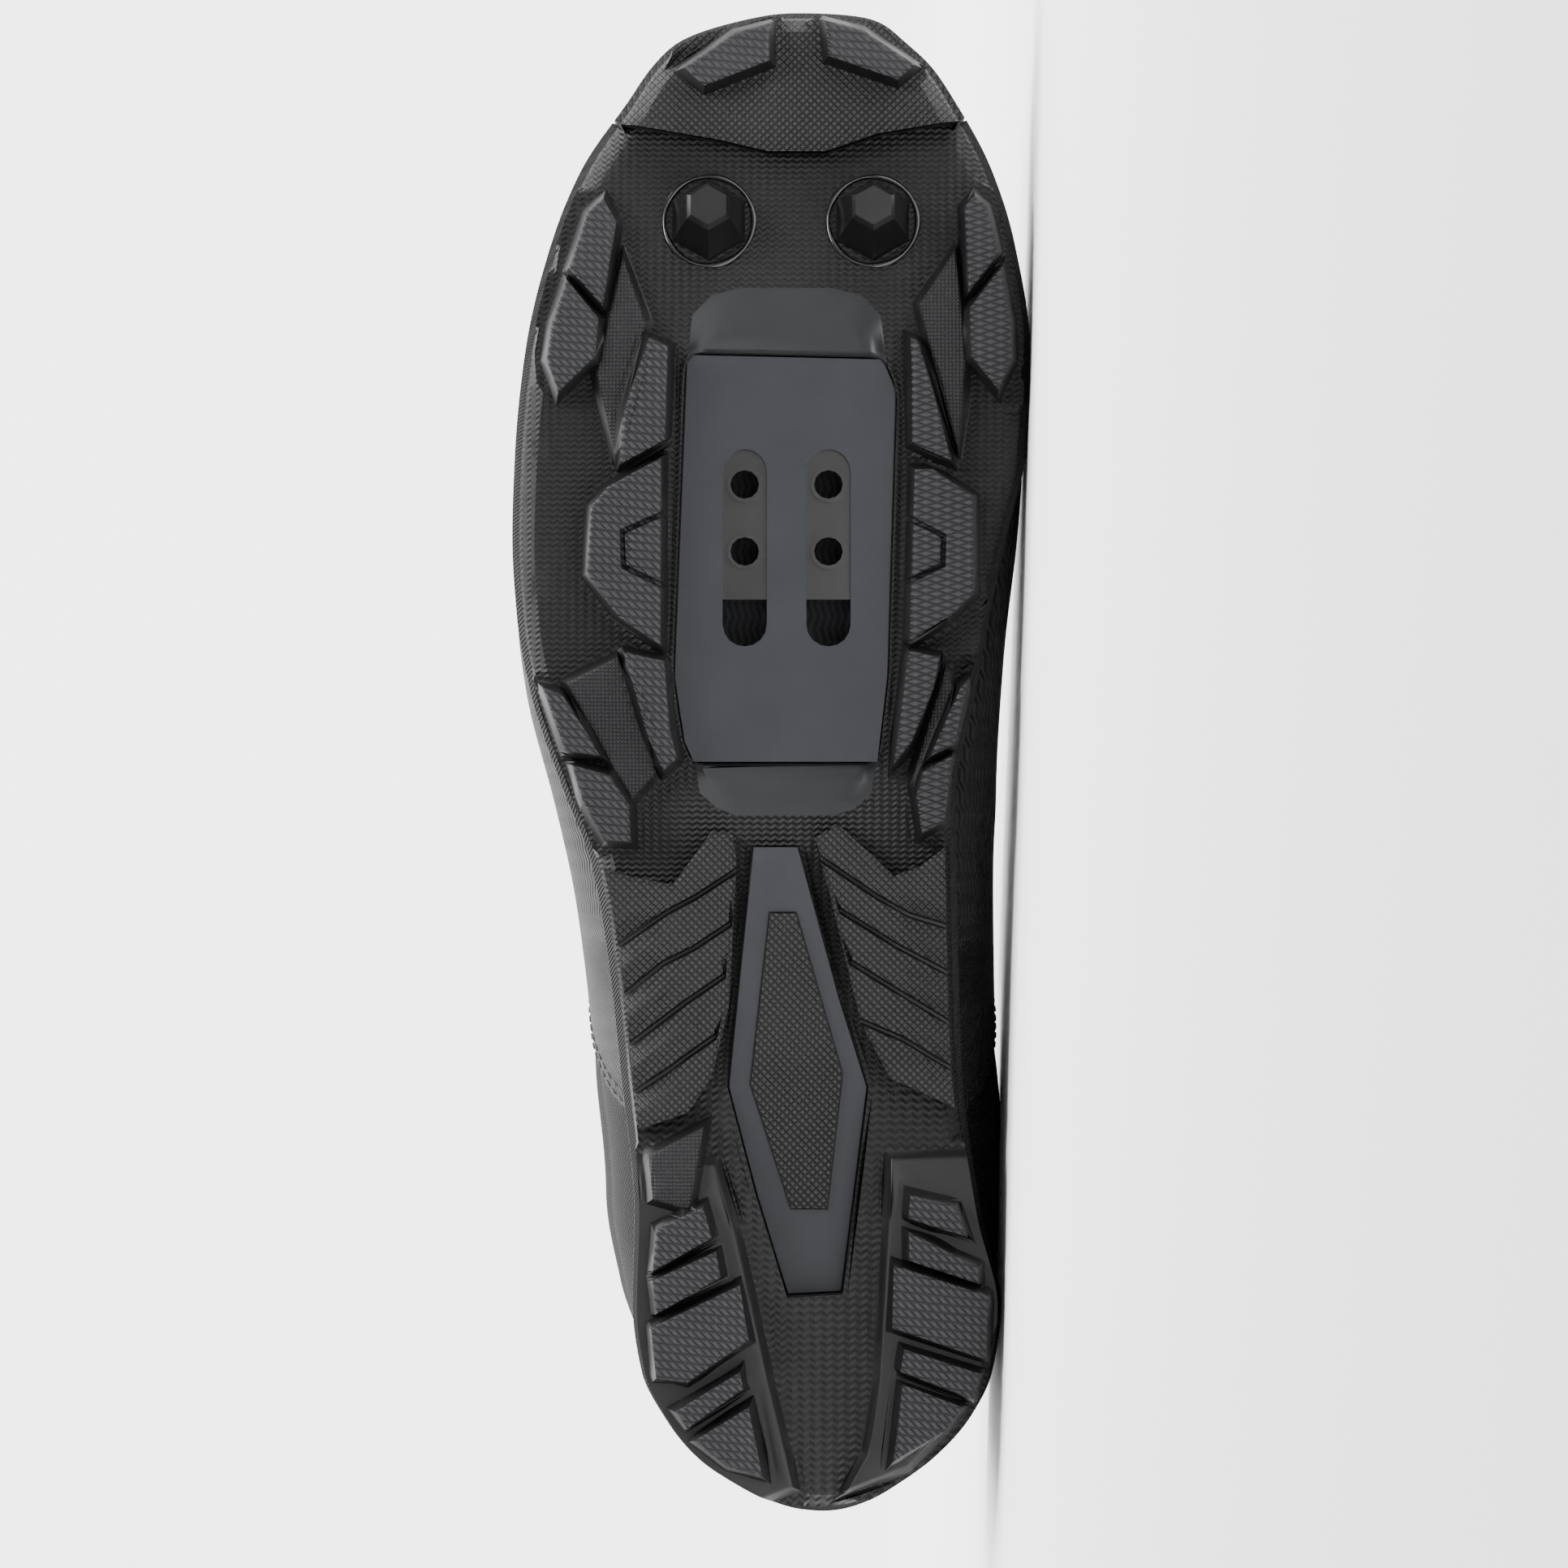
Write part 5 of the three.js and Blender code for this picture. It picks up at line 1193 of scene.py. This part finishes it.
def throat_distance(x, y):
    """Distance from the edge of the throat opening in plan, negative inside it."""
    along = share_along(x)
    middle = BALL_WIDTH * side_at("lean", along)
    if along > THROAT_FRONT:
        end_y = BALL_WIDTH * side_at("lean", THROAT_FRONT)
        return math.hypot(x - LENGTH * THROAT_FRONT, y - end_y) - THROAT_FRONT_HALF
    share = (along - THROAT_BACK) / (THROAT_FRONT - THROAT_BACK)
    return abs(y - middle) - mix(THROAT_BACK_HALF, THROAT_FRONT_HALF, max(0, share))


def is_open(which, theta, level):
    x, y, z = form_point(which, theta, level)
    return z > topline(x) or (x > LENGTH * THROAT_BACK and throat_distance(x, y) < 0)


def top_level(which, theta):
    """The level where the shell ends at the collar or at the throat; 1 where it is closed."""
    steps = 60
    for i in range(steps + 1):
        level = mix(WIDEST_LEVEL, 1, i / steps)
        if is_open(which, theta, level):
            low, high = level - (1 - WIDEST_LEVEL) / steps, level
            for _ in range(14):
                middle = (low + high) / 2
                if is_open(which, theta, middle):
                    high = middle
                else:
                    low = middle
            return low
    return 1.0


def column_of(step):
    which = LATERAL if step <= RING / 2 else MEDIAL
    return which, math.pi * (step if which == LATERAL else RING - step) / (RING / 2)


def grid_normals(grid):
    """Unit normals of a closed grid of points, columns round the shoe by rows up."""
    run = np.roll(grid, -1, 0) - np.roll(grid, 1, 0)
    rise = np.gradient(grid, axis=1)
    normal = np.cross(run, rise)
    return normal / np.maximum(np.linalg.norm(normal, axis=2, keepdims=True), 1e-9)


def smooth_step(value, low, high):
    t = min(max((value - low) / (high - low), 0), 1)
    return t * t * (3 - 2 * t)


def seam_distance(x, z):
    """Signed distance from the seam in side view, positive in front of it."""
    away = line_distance(x, z, seam_line)
    zs = [p[1] for p in seam_line]
    xs = [p[0] for p in seam_line]
    return away if x > float(np.interp(z, zs, xs)) else -away


ROWS = LOW_ROWS + HIGH_ROWS
skin = np.zeros((RING, ROWS, 3))
tops = []
for column in range(RING):
    which, theta = column_of(column)
    top = top_level(which, theta)
    tops.append(top)
    for j in range(ROWS):
        if j < LOW_ROWS:
            level = LIP_LEVEL * j / LOW_ROWS
        else:
            level = mix(LIP_LEVEL, top, (j - LOW_ROWS) / (HIGH_ROWS - 1))
        skin[column, j] = form_point(which, theta, level)
normals = grid_normals(skin)
for column in range(RING):
    if tops[column] >= 1 or column in (0, RING // 2):
        shared = normals[column, -1] + normals[-column % RING, -1]
        shared[1] = 0
        if np.linalg.norm(shared) < 1e-6:
            shared = np.array([1.0, 0, 1.0])
        normals[column, -1] = shared / np.linalg.norm(shared)
outer = np.zeros_like(skin)
inner = np.zeros_like(skin)
marks = np.zeros((RING, ROWS, 2))
for column in range(RING):
    lengths = np.linalg.norm(np.diff(skin[column], axis=0), axis=1)
    from_top = np.concatenate([np.cumsum(lengths[::-1])[::-1], [0]])
    for j in range(ROWS):
        x, y, z = skin[column, j]
        along = share_along(x)
        front = seam_distance(x, z)
        stay = STAY_WIDTH - throat_distance(x, y) if x > LENGTH * (THROAT_BACK - 0.03) else -5.0
        marks[column, j] = (front, stay)
        lift = PANEL_STEP * smooth_step(front, -0.5, 0.5) * smooth_step(z - rim_height(along), 1.5, 3)
        lift += STAY_STEP * smooth_step(stay, -0.6, 0.6)
        collar = smooth_step(LENGTH * 0.37 - x, 0, 18) if tops[column] < 1 else 0.0
        swelling = collar * math.sin(math.pi * min(1, from_top[j] / PAD_REACH)) ** 1.2
        outer[column, j] = skin[column, j] + normals[column, j] * (lift + PAD_OUT * swelling)
        inner[column, j] = skin[column, j] - normals[column, j] * (UPPER_WALL + PAD_IN * swelling)

# The side on the floor lies flat on it
floor_side = (-origin.z * 1000 - outer[:, :, 0] * x_axis.z - outer[:, :, 2] * z_axis.z) / y_axis.z
outer[:, :, 1] = np.minimum(outer[:, :, 1], floor_side - 0.05)

# Rows from the foot of the lining up, over the edge and down the outside
last_step = skin[:, -1] - skin[:, -2]
last_step = last_step / np.maximum(np.linalg.norm(last_step, axis=1, keepdims=True), 1e-6)
edge_round = 0.6 * np.array([1.0 if top < 1 else 0.0 for top in tops])[:, None]
edge_middle = (outer[:, -1] + inner[:, -1]) / 2 + last_step * edge_round
layers = np.concatenate([inner, edge_middle[:, None], outer[:, ::-1]], axis=1)
count = layers.shape[1]
mark_rows = np.concatenate([marks, marks[:, -1:], marks[:, ::-1]], axis=1)
points = [tuple(p) for p in layers.reshape(-1, 3)]
girth = skin[:, LOW_ROWS + 10]
around = np.concatenate([[0], np.cumsum(np.linalg.norm(np.diff(girth, axis=0), axis=1))])
around = np.append(around, around[-1] + np.linalg.norm(girth[0] - girth[-1]))
steps_up = np.linalg.norm(np.diff(layers, axis=1), axis=2)
up = np.concatenate([np.zeros((RING, 1)), np.cumsum(steps_up, axis=1)], axis=1)
faces = []
coordinates = []
zones = []
for i in range(RING):
    k = (i + 1) % RING
    for j in range(count):
        m = (j + 1) % count
        faces.append((i * count + j, k * count + j, k * count + m, i * count + m))
        top_v = up[i, m] if m else up[i, j] + 2
        top_w = up[k, m] if m else up[k, j] + 2
        coordinates.append([
            (up[i, j], around[i]), (up[k, j], around[i + 1]), (top_w, around[i + 1]), (top_v, around[i]),
        ])
        bound = tops[i] < 1 and ROWS - 2 <= j < ROWS + 2
        zones.append("binding" if bound else "lining" if j < ROWS else "shell")


def upper_material():
    """Ridged synthetic in front of the seam, dotted knit behind it, smooth stay round the throat."""
    material, tree = fresh_material("ridged_synthetic_and_dotted_knit")
    vector = add(tree, "UVMap", {}, uv_map="millimetres")
    up_value, around_value = [add(tree, "SeparateXYZ", {"Vector": vector}, output=i) for i in range(2)]
    ridges = pattern_height(tree, "waves", around_value, up_value, 1.1)
    dots = pattern_height(tree, "diamonds", up_value, around_value, 0.85)
    front = calc(tree, "GREATER_THAN", add(tree, "Attribute", {}, output=2, attribute_name="front"), 0.0)
    stay = calc(tree, "GREATER_THAN", add(tree, "Attribute", {}, output=2, attribute_name="stay"), 0.0)
    grain = add(tree, "TexNoise", {"Vector": vector, "Scale": 1.6, "Detail": 4.0})
    mottle = add(tree, "TexNoise", {"Vector": vector, "Scale": 0.05, "Detail": 3.0})
    height = choose(tree, stay, choose(tree, front, dots, ridges), calc(tree, "MULTIPLY", grain, 0.35))
    # Colour follows the relief: the hollows between the dots and the troughs between the ridges are painted darker
    # (painted shade).
    knit = blend(tree, dots, colour("#070708"), colour("#1d1d1f"))
    synthetic = blend(tree, ridges, colour("#111113"), colour("#29292a"))
    tint = blend(tree, stay, blend(tree, front, knit, synthetic), colour("#141416"))
    value = calc(tree, "ADD", calc(tree, "MULTIPLY", mottle, 0.3), 0.42)
    tint = add(tree, "HueSaturation", {"Color": tint, "Value": value})
    bump = add(tree, "Bump", {"Strength": 1.0, "Distance": 0.0003, "Height": height})
    roughness = choose(tree, front, 0.85, 0.6)
    sockets = {"Base Color": tint, "Roughness": roughness, "Normal": bump}
    finish_material(
        tree, add(tree, "BsdfPrincipled", {**sockets, "Sheen Weight": 0.03, "Specular IOR Level": 0.3})
    )
    return material


lining = surface("warp_knit_mesh_lining", "#09090a", "#1c1c1e", "dots", 1.3, 0.3, 0.9, sheen=0.03)
binding = surface("folded_microfibre_edge", "#0b0b0d", "#1c1c1d", "weave", 0.7, 0.12, 0.75, sheen=0.03)
upper = make_object(
    "upper_shell", points, faces, coordinates, zones,
    {"shell": upper_material(), "binding": binding, "lining": lining}, 60,
)
for index, name in enumerate(("front", "stay")):
    attribute = upper.data.attributes.new(name, "FLOAT", "POINT")
    attribute.data.foreach_set("value", mark_rows[:, :, index].reshape(-1).astype(np.float32))


def level_over(which, theta, y):
    """The level of the form over a place across."""
    low, high = WIDEST_LEVEL, 1.0
    for _ in range(24):
        middle = (low + high) / 2
        if which * (form_point(which, theta, middle)[1] - y) > 0:
            low = middle
        else:
            high = middle
    return (low + high) / 2


def over_form(along, off_centre, distance=0.0):
    """A point over the instep, off_centre from the ridge line, and the outward direction there."""
    which = LATERAL if off_centre < 0 else MEDIAL
    theta = angle_of(along)
    y = BALL_WIDTH * side_at("lean", along) + off_centre
    level = min(level_over(which, theta, y), 0.985)
    step = 0.01
    here = Vector(form_point(which, theta, level))
    run = Vector(form_point(which, theta + step, level)) - Vector(form_point(which, theta - step, level))
    rise = Vector(form_point(which, theta, level + step)) - Vector(form_point(which, theta, level - step))
    normal = (run.cross(rise) * -which).normalized()
    if abs(off_centre) < 3:
        normal.y *= abs(off_centre) / 3
        normal.normalize()
        here.y = y
    return here + normal * distance, normal


eyelets = []
for i in range(EYELET_PAIRS):
    share = i / (EYELET_PAIRS - 1)
    off_centre = mix(THROAT_FRONT_HALF, THROAT_BACK_HALF, share) + EYELET_FROM_EDGE
    eyelets.append((mix(LACING_FRONT, LACING_BACK, share), off_centre))


def tube_round(centre, normal, rings, steps):
    """Points of round loops about a direction: each ring is a radius and a height along it."""
    first = normal.orthogonal().normalized()
    second = normal.cross(first)
    loops = []
    for radius, height in rings:
        for i in range(steps):
            angle = 2 * math.pi * i / steps
            spot = centre + normal * height + (first * math.cos(angle) + second * math.sin(angle)) * radius
            loops.append(tuple(spot))
    return loops


def loop_faces(loops, steps, closed, offset=0):
    faces = []
    for i in range(loops if closed else loops - 1):
        a, b = offset + i * steps, offset + (i + 1) % loops * steps
        for j in range(steps):
            k = (j + 1) % steps
            faces.append((a + j, a + k, b + k, b + j))
    return faces


pin_points = []
pin_faces = []
rim_points = []
rim_faces = []
PIN_STEPS = 20
RIM_SECTION = 8
for along, off in eyelets:
    for sign in (LATERAL, MEDIAL):
        centre, normal = over_form(along, sign * off)
        start = len(pin_points)
        pin_points += tube_round(centre, normal, [(EYELET_RADIUS, -6), (EYELET_RADIUS, 6)], PIN_STEPS)
        pin_faces += loop_faces(2, PIN_STEPS, False, start)
        pin_faces.append(tuple(start + i for i in reversed(range(PIN_STEPS))))
        pin_faces.append(tuple(start + PIN_STEPS + i for i in range(PIN_STEPS)))
        section = []
        for j in range(RIM_SECTION):
            angle = 2 * math.pi * j / RIM_SECTION
            section.append((EYELET_RADIUS + 0.35 + 0.6 * math.cos(angle), 1.35 + 0.45 * math.sin(angle)))
        start = len(rim_points)
        rim_points += tube_round(centre, normal, section, 28)
        rim_faces += loop_faces(RIM_SECTION, 28, True, start)


def bare_mesh(name, points, faces):
    mesh = bpy.data.meshes.new(name)
    mesh.from_pydata([row(p) for p in points], [], faces)
    mesh.update()
    piece = bpy.data.objects.new(name, mesh)
    bpy.context.collection.objects.link(piece)
    return piece


pins = bare_mesh("pins", pin_points, pin_faces)
weld(upper, 2e-5)
punch = upper.modifiers.new("punch", "BOOLEAN")
punch.operation = "DIFFERENCE"
punch.solver = "EXACT"
punch.object = pins
punched = bpy.data.meshes.new_from_object(upper.evaluated_get(bpy.context.evaluated_depsgraph_get()))
upper.modifiers.clear()
upper.data = punched
bpy.data.objects.remove(pins)
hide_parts("upper")
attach(upper, "shoe")

# Stitches: rows of thread along the stay round the throat and along the seam of the heel quarter.
STITCH_PITCH = 2.7
STITCH_HALF = 0.95
STITCH_RINGS = ((-1, 0.07), (-0.7, 0.2), (0.7, 0.2), (1, 0.07))
STITCH_STEPS = 6
STITCH_LINES = ((1, 1.8), (0, 1.5), (0, 3.3))
STITCH_LIFT = 0.1
STITCH_SINK = -0.05
LONGEST_STEP = 8


def contour(index, value, columns):
    """Points and directions on the outside where one of its marks has the given value."""
    line = []
    for column in columns:
        mark = marks[column, :, index]
        for j in range(ROWS - 1, LOW_ROWS + 2, -1):
            if (mark[j] - value) * (mark[j - 1] - value) < 0:
                t = (value - mark[j]) / (mark[j - 1] - mark[j])
                spot = outer[column, j] * (1 - t) + outer[column, j - 1] * t
                line.append((Vector(spot), Vector(normals[column, j])))
                break
    return line


points = []
faces = []
for index, value in STITCH_LINES:
    for columns in (range(2, RING // 2 - 6), range(RING - 2, RING // 2 + 6, -1)):
        line = contour(index, value, columns)
        travelled = 0.0
        due = STITCH_PITCH / 2
        for (a, normal), (b, _) in zip(line, line[1:]):
            length = (b - a).length
            while length < LONGEST_STEP and due < travelled + length:
                spot = a.lerp(b, (due - travelled) / length)
                due += STITCH_PITCH
                tangent = (b - a).normalized()
                across = tangent.cross(normal).normalized()
                start = len(points)
                for reach, radius in STITCH_RINGS:
                    lift = STITCH_LIFT if abs(reach) < 1 else STITCH_SINK
                    centre = spot + tangent * (reach * STITCH_HALF) + normal * lift
                    for k in range(STITCH_STEPS):
                        angle = 2 * math.pi * k / STITCH_STEPS
                        side_step = across * math.cos(angle) * radius + normal * math.sin(angle) * radius
                        points.append(tuple(centre + side_step))
                faces += loop_faces(len(STITCH_RINGS), STITCH_STEPS, False, start)
                last = start + STITCH_STEPS * (len(STITCH_RINGS) - 1)
                faces.append(tuple(range(start, start + STITCH_STEPS)))
                faces.append(tuple(range(last, last + STITCH_STEPS)))
            travelled += length
thread = surface("bonded_nylon_thread", "#141416", "#3a3a3d", "weave", 0.5, 0.05, 0.6)
stitches = one_material("upper_stitches", points, faces, thread)
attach(stitches, "shoe")

# Eyelet rims: twelve small anodised rings pressed into the stay.
aluminium = surface("anodised_aluminium", "#101011", "#28282a", "plain", 1.0, 0.02, 0.3, metal=0.9)
rims = one_material("eyelet_rims", rim_points, rim_faces, aluminium)
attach(rims, "shoe")

# Tongue: a padded sheet of mesh fabric under the throat, with sewn channels across it and a rounded edge.
TONGUE_BACK = 0.31
TONGUE_FRONT = 0.79
TONGUE_LEVEL = 0.7
TONGUE_THICKNESS = 4
TONGUE_COLUMNS = 90
TONGUE_ACROSS = 44
CHANNELS = (0.37, 0.43, 0.49, 0.55, 0.61, 0.67)
outer_side = []
for i in range(TONGUE_COLUMNS + 1):
    theta = mix(angle_of(TONGUE_BACK), angle_of(TONGUE_FRONT), i / TONGUE_COLUMNS)
    line = []
    for j in range(TONGUE_ACROSS + 1):
        q = 2 * j / TONGUE_ACROSS - 1
        which = LATERAL if q < 0 else MEDIAL
        line.append(form_point(which, theta, mix(1, TONGUE_LEVEL, abs(q))))
    outer_side.append(line)
base = np.array(outer_side)
run = np.gradient(base, axis=0)
rise = np.gradient(base, axis=1)
direction = np.cross(run, rise)
direction /= np.maximum(np.linalg.norm(direction, axis=2, keepdims=True), 1e-9)
if direction[TONGUE_COLUMNS // 2, TONGUE_ACROSS // 2, 2] < 0:
    direction = -direction
points = []
for layer in (0, 1):
    for i in range(TONGUE_COLUMNS + 1):
        along = base[i, 0, 0] / LENGTH
        end = min(1, min(i, TONGUE_COLUMNS - i) / 5)
        for j in range(TONGUE_ACROSS + 1):
            q = abs(2 * j / TONGUE_ACROSS - 1)
            full = math.sqrt(max(0, 1 - q**8)) * math.sqrt(max(0, 1 - (1 - end) ** 2))
            channel = max(math.exp(-(((along - at) * LENGTH) ** 2) / 1.6) for at in CHANNELS) * (1 - q**4)
            middle = -UPPER_WALL - CLEARANCE - TONGUE_THICKNESS / 2
            half = TONGUE_THICKNESS / 2 * full
            depth = middle + half - 1.3 * channel if layer == 0 else middle - half + 0.4 * channel
            points.append(tuple(base[i, j] + direction[i, j] * depth))


def pad_faces(rows, across):
    """Faces of a pad: an upper and a lower grid of points, joined round their border."""
    width = across + 1
    block = (rows + 1) * width
    faces = []
    for layer in (0, 1):
        for i in range(rows):
            for j in range(across):
                a = layer * block + i * width + j
                quad = (a, a + 1, a + width + 1, a + width)
                faces.append(quad if layer else quad[::-1])
    border = list(range(width))
    border += [i * width + across for i in range(1, rows + 1)]
    border += [rows * width + j for j in range(across - 1, -1, -1)]
    border += [i * width for i in range(rows - 1, 0, -1)]
    return faces + [(a, b, block + b, block + a) for a, b in zip(border, border[1:] + border[:1])]


spacer_mesh = surface("spacer_mesh_fabric", "#070709", "#1d1d20", "dots", 1.7, 0.45, 0.9, sheen=0.03)
tongue = one_material("tongue_pad", points, pad_faces(TONGUE_COLUMNS, TONGUE_ACROSS), spacer_mesh)
weld(tongue, 2e-5)
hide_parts("tongue")
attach(tongue, "shoe")

# Insole: thin foam footbed with a knitted cover, slightly cupped at its edge.
INSOLE_THICKNESS = 3.5
INSOLE_ROWS = 24
outline = []
for step in range(RING // 2):
    which, theta = column_of(2 * step)
    along = (1 - math.cos(theta)) / 2
    x, y, _ = form_point(which, theta, 0.03)
    inset = UPPER_WALL + 2 * CLEARANCE
    outline.append((x + inset * ((1 - along) ** 2 - along**2), y - which * inset * end_share(theta), along))
half = RING // 4
points = []
for layer in (0, 1):
    for i in range(half + 1):
        a = outline[i]
        b = outline[(RING // 2 - i) % (RING // 2)]
        for j in range(INSOLE_ROWS + 1):
            t = j / INSOLE_ROWS
            q = abs(2 * t - 1)
            x, y, along = (mix(a[k], b[k], t) for k in range(3))
            low = floor_height(along) + CLEARANCE + 0.1
            end = min(1, min(i, half - i) / 4)
            round_off = math.sqrt(max(0, 1 - q**14)) * math.sqrt(max(0.0, 1 - (1 - end) ** 2))
            thickness = INSOLE_THICKNESS * round_off + 0.8 * q**3 * round_off
            points.append((x, y, low + (thickness if layer == 0 else 0)))
knitted_cover = surface("knitted_footbed_cover", "#0e0e11", "#232528", "waves", 1.2, 0.2, 0.9, sheen=0.03)
insole = one_material("insole_footbed", points, pad_faces(half, INSOLE_ROWS), knitted_cover)
weld(insole, 2e-5)
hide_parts("insole")
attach(insole, "shoe")

# Lace: flat woven band that crosses the tongue and comes up through every eyelet; its ends stop under the
# top pair.
LACE_WIDTH = 4.2
LACE_THICKNESS = 1.1
LACE_SECTION = 12
UNDER = -UPPER_WALL - 0.9
OVER = PANEL_STEP + STAY_STEP + LACE_THICKNESS / 2 + 0.25


def lace_line(start, end, over_start):
    """Points of one crossing with their outward directions, from eyelet to eyelet."""
    line = []
    steps = 26
    for i in range(steps + 1):
        t = i / steps
        along = mix(start[0], end[0], t)
        off = mix(start[1], end[1], t)
        share = (along - THROAT_BACK) / (THROAT_FRONT - THROAT_BACK)
        throat = mix(THROAT_BACK_HALF, THROAT_FRONT_HALF, share)
        beside_throat = smooth_step(abs(off), throat - 4, throat + 0.8)
        on_start_side = off * start[1] > 0
        if on_start_side and over_start:
            leave = smooth_step(abs(start[1]) - abs(off), 0.2, 2.0)
            side_height = mix(UNDER, OVER, leave)
        else:
            side_height = UNDER
        tongue_height = -UPPER_WALL - CLEARANCE + LACE_THICKNESS / 2 - 0.2
        line.append(over_form(along, off, mix(tongue_height, side_height, beside_throat)))
    return line


def band(lines):
    points = []
    faces = []
    coordinates = []
    for line in lines:
        start = len(points)
        travelled = 0
        travels = []
        for i, (spot, normal) in enumerate(line):
            ahead = line[min(i + 1, len(line) - 1)][0]
            behind = line[max(i - 1, 0)][0]
            tangent = (ahead - behind).normalized()
            across = tangent.cross(normal).normalized()
            up_way = across.cross(tangent).normalized()
            if i:
                travelled += (spot - line[i - 1][0]).length
            travels.append(travelled)
            for k in range(LACE_SECTION):
                angle = 2 * math.pi * k / LACE_SECTION
                wide = math.copysign(abs(math.cos(angle)) ** 0.6, math.cos(angle)) * LACE_WIDTH / 2
                tall = math.sin(angle) * LACE_THICKNESS / 2
                points.append(tuple(spot + across * wide + up_way * tall))
        for i in range(len(line) - 1):
            for k in range(LACE_SECTION):
                m = (k + 1) % LACE_SECTION
                a, b = start + i * LACE_SECTION, start + (i + 1) * LACE_SECTION
                faces.append((a + k, a + m, b + m, b + k))
                u0, u1 = travels[i], travels[i + 1]
                coordinates.append([(u0, k * 0.9), (u0, k * 0.9 + 0.9), (u1, k * 0.9 + 0.9), (u1, k * 0.9)])
        last = start + (len(line) - 1) * LACE_SECTION
        faces.append(tuple(start + k for k in reversed(range(LACE_SECTION))))
        coordinates.append([(0.0, 0.0)] * LACE_SECTION)
        faces.append(tuple(last + k for k in range(LACE_SECTION)))
        coordinates.append([(0.0, 0.0)] * LACE_SECTION)
    return points, faces, coordinates


lace_lines = [lace_line((eyelets[0][0], -eyelets[0][1]), eyelets[0], False)]
for sign in (LATERAL, MEDIAL):
    for i in range(EYELET_PAIRS - 1):
        from_eyelet = (eyelets[i][0], sign * eyelets[i][1])
        to_eyelet = (eyelets[i + 1][0], -sign * eyelets[i + 1][1])
        lace_lines.append(lace_line(from_eyelet, to_eyelet, True))
points, faces, coordinates = band(lace_lines)
woven_lace = surface("woven_polyester_lace", "#060607", "#1d1d1f", "weave", 0.75, 0.25, 0.8, sheen=0.03)
lace = one_material("lace_band", points, faces, woven_lace, coordinates)
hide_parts("lace")
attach(lace, "shoe")
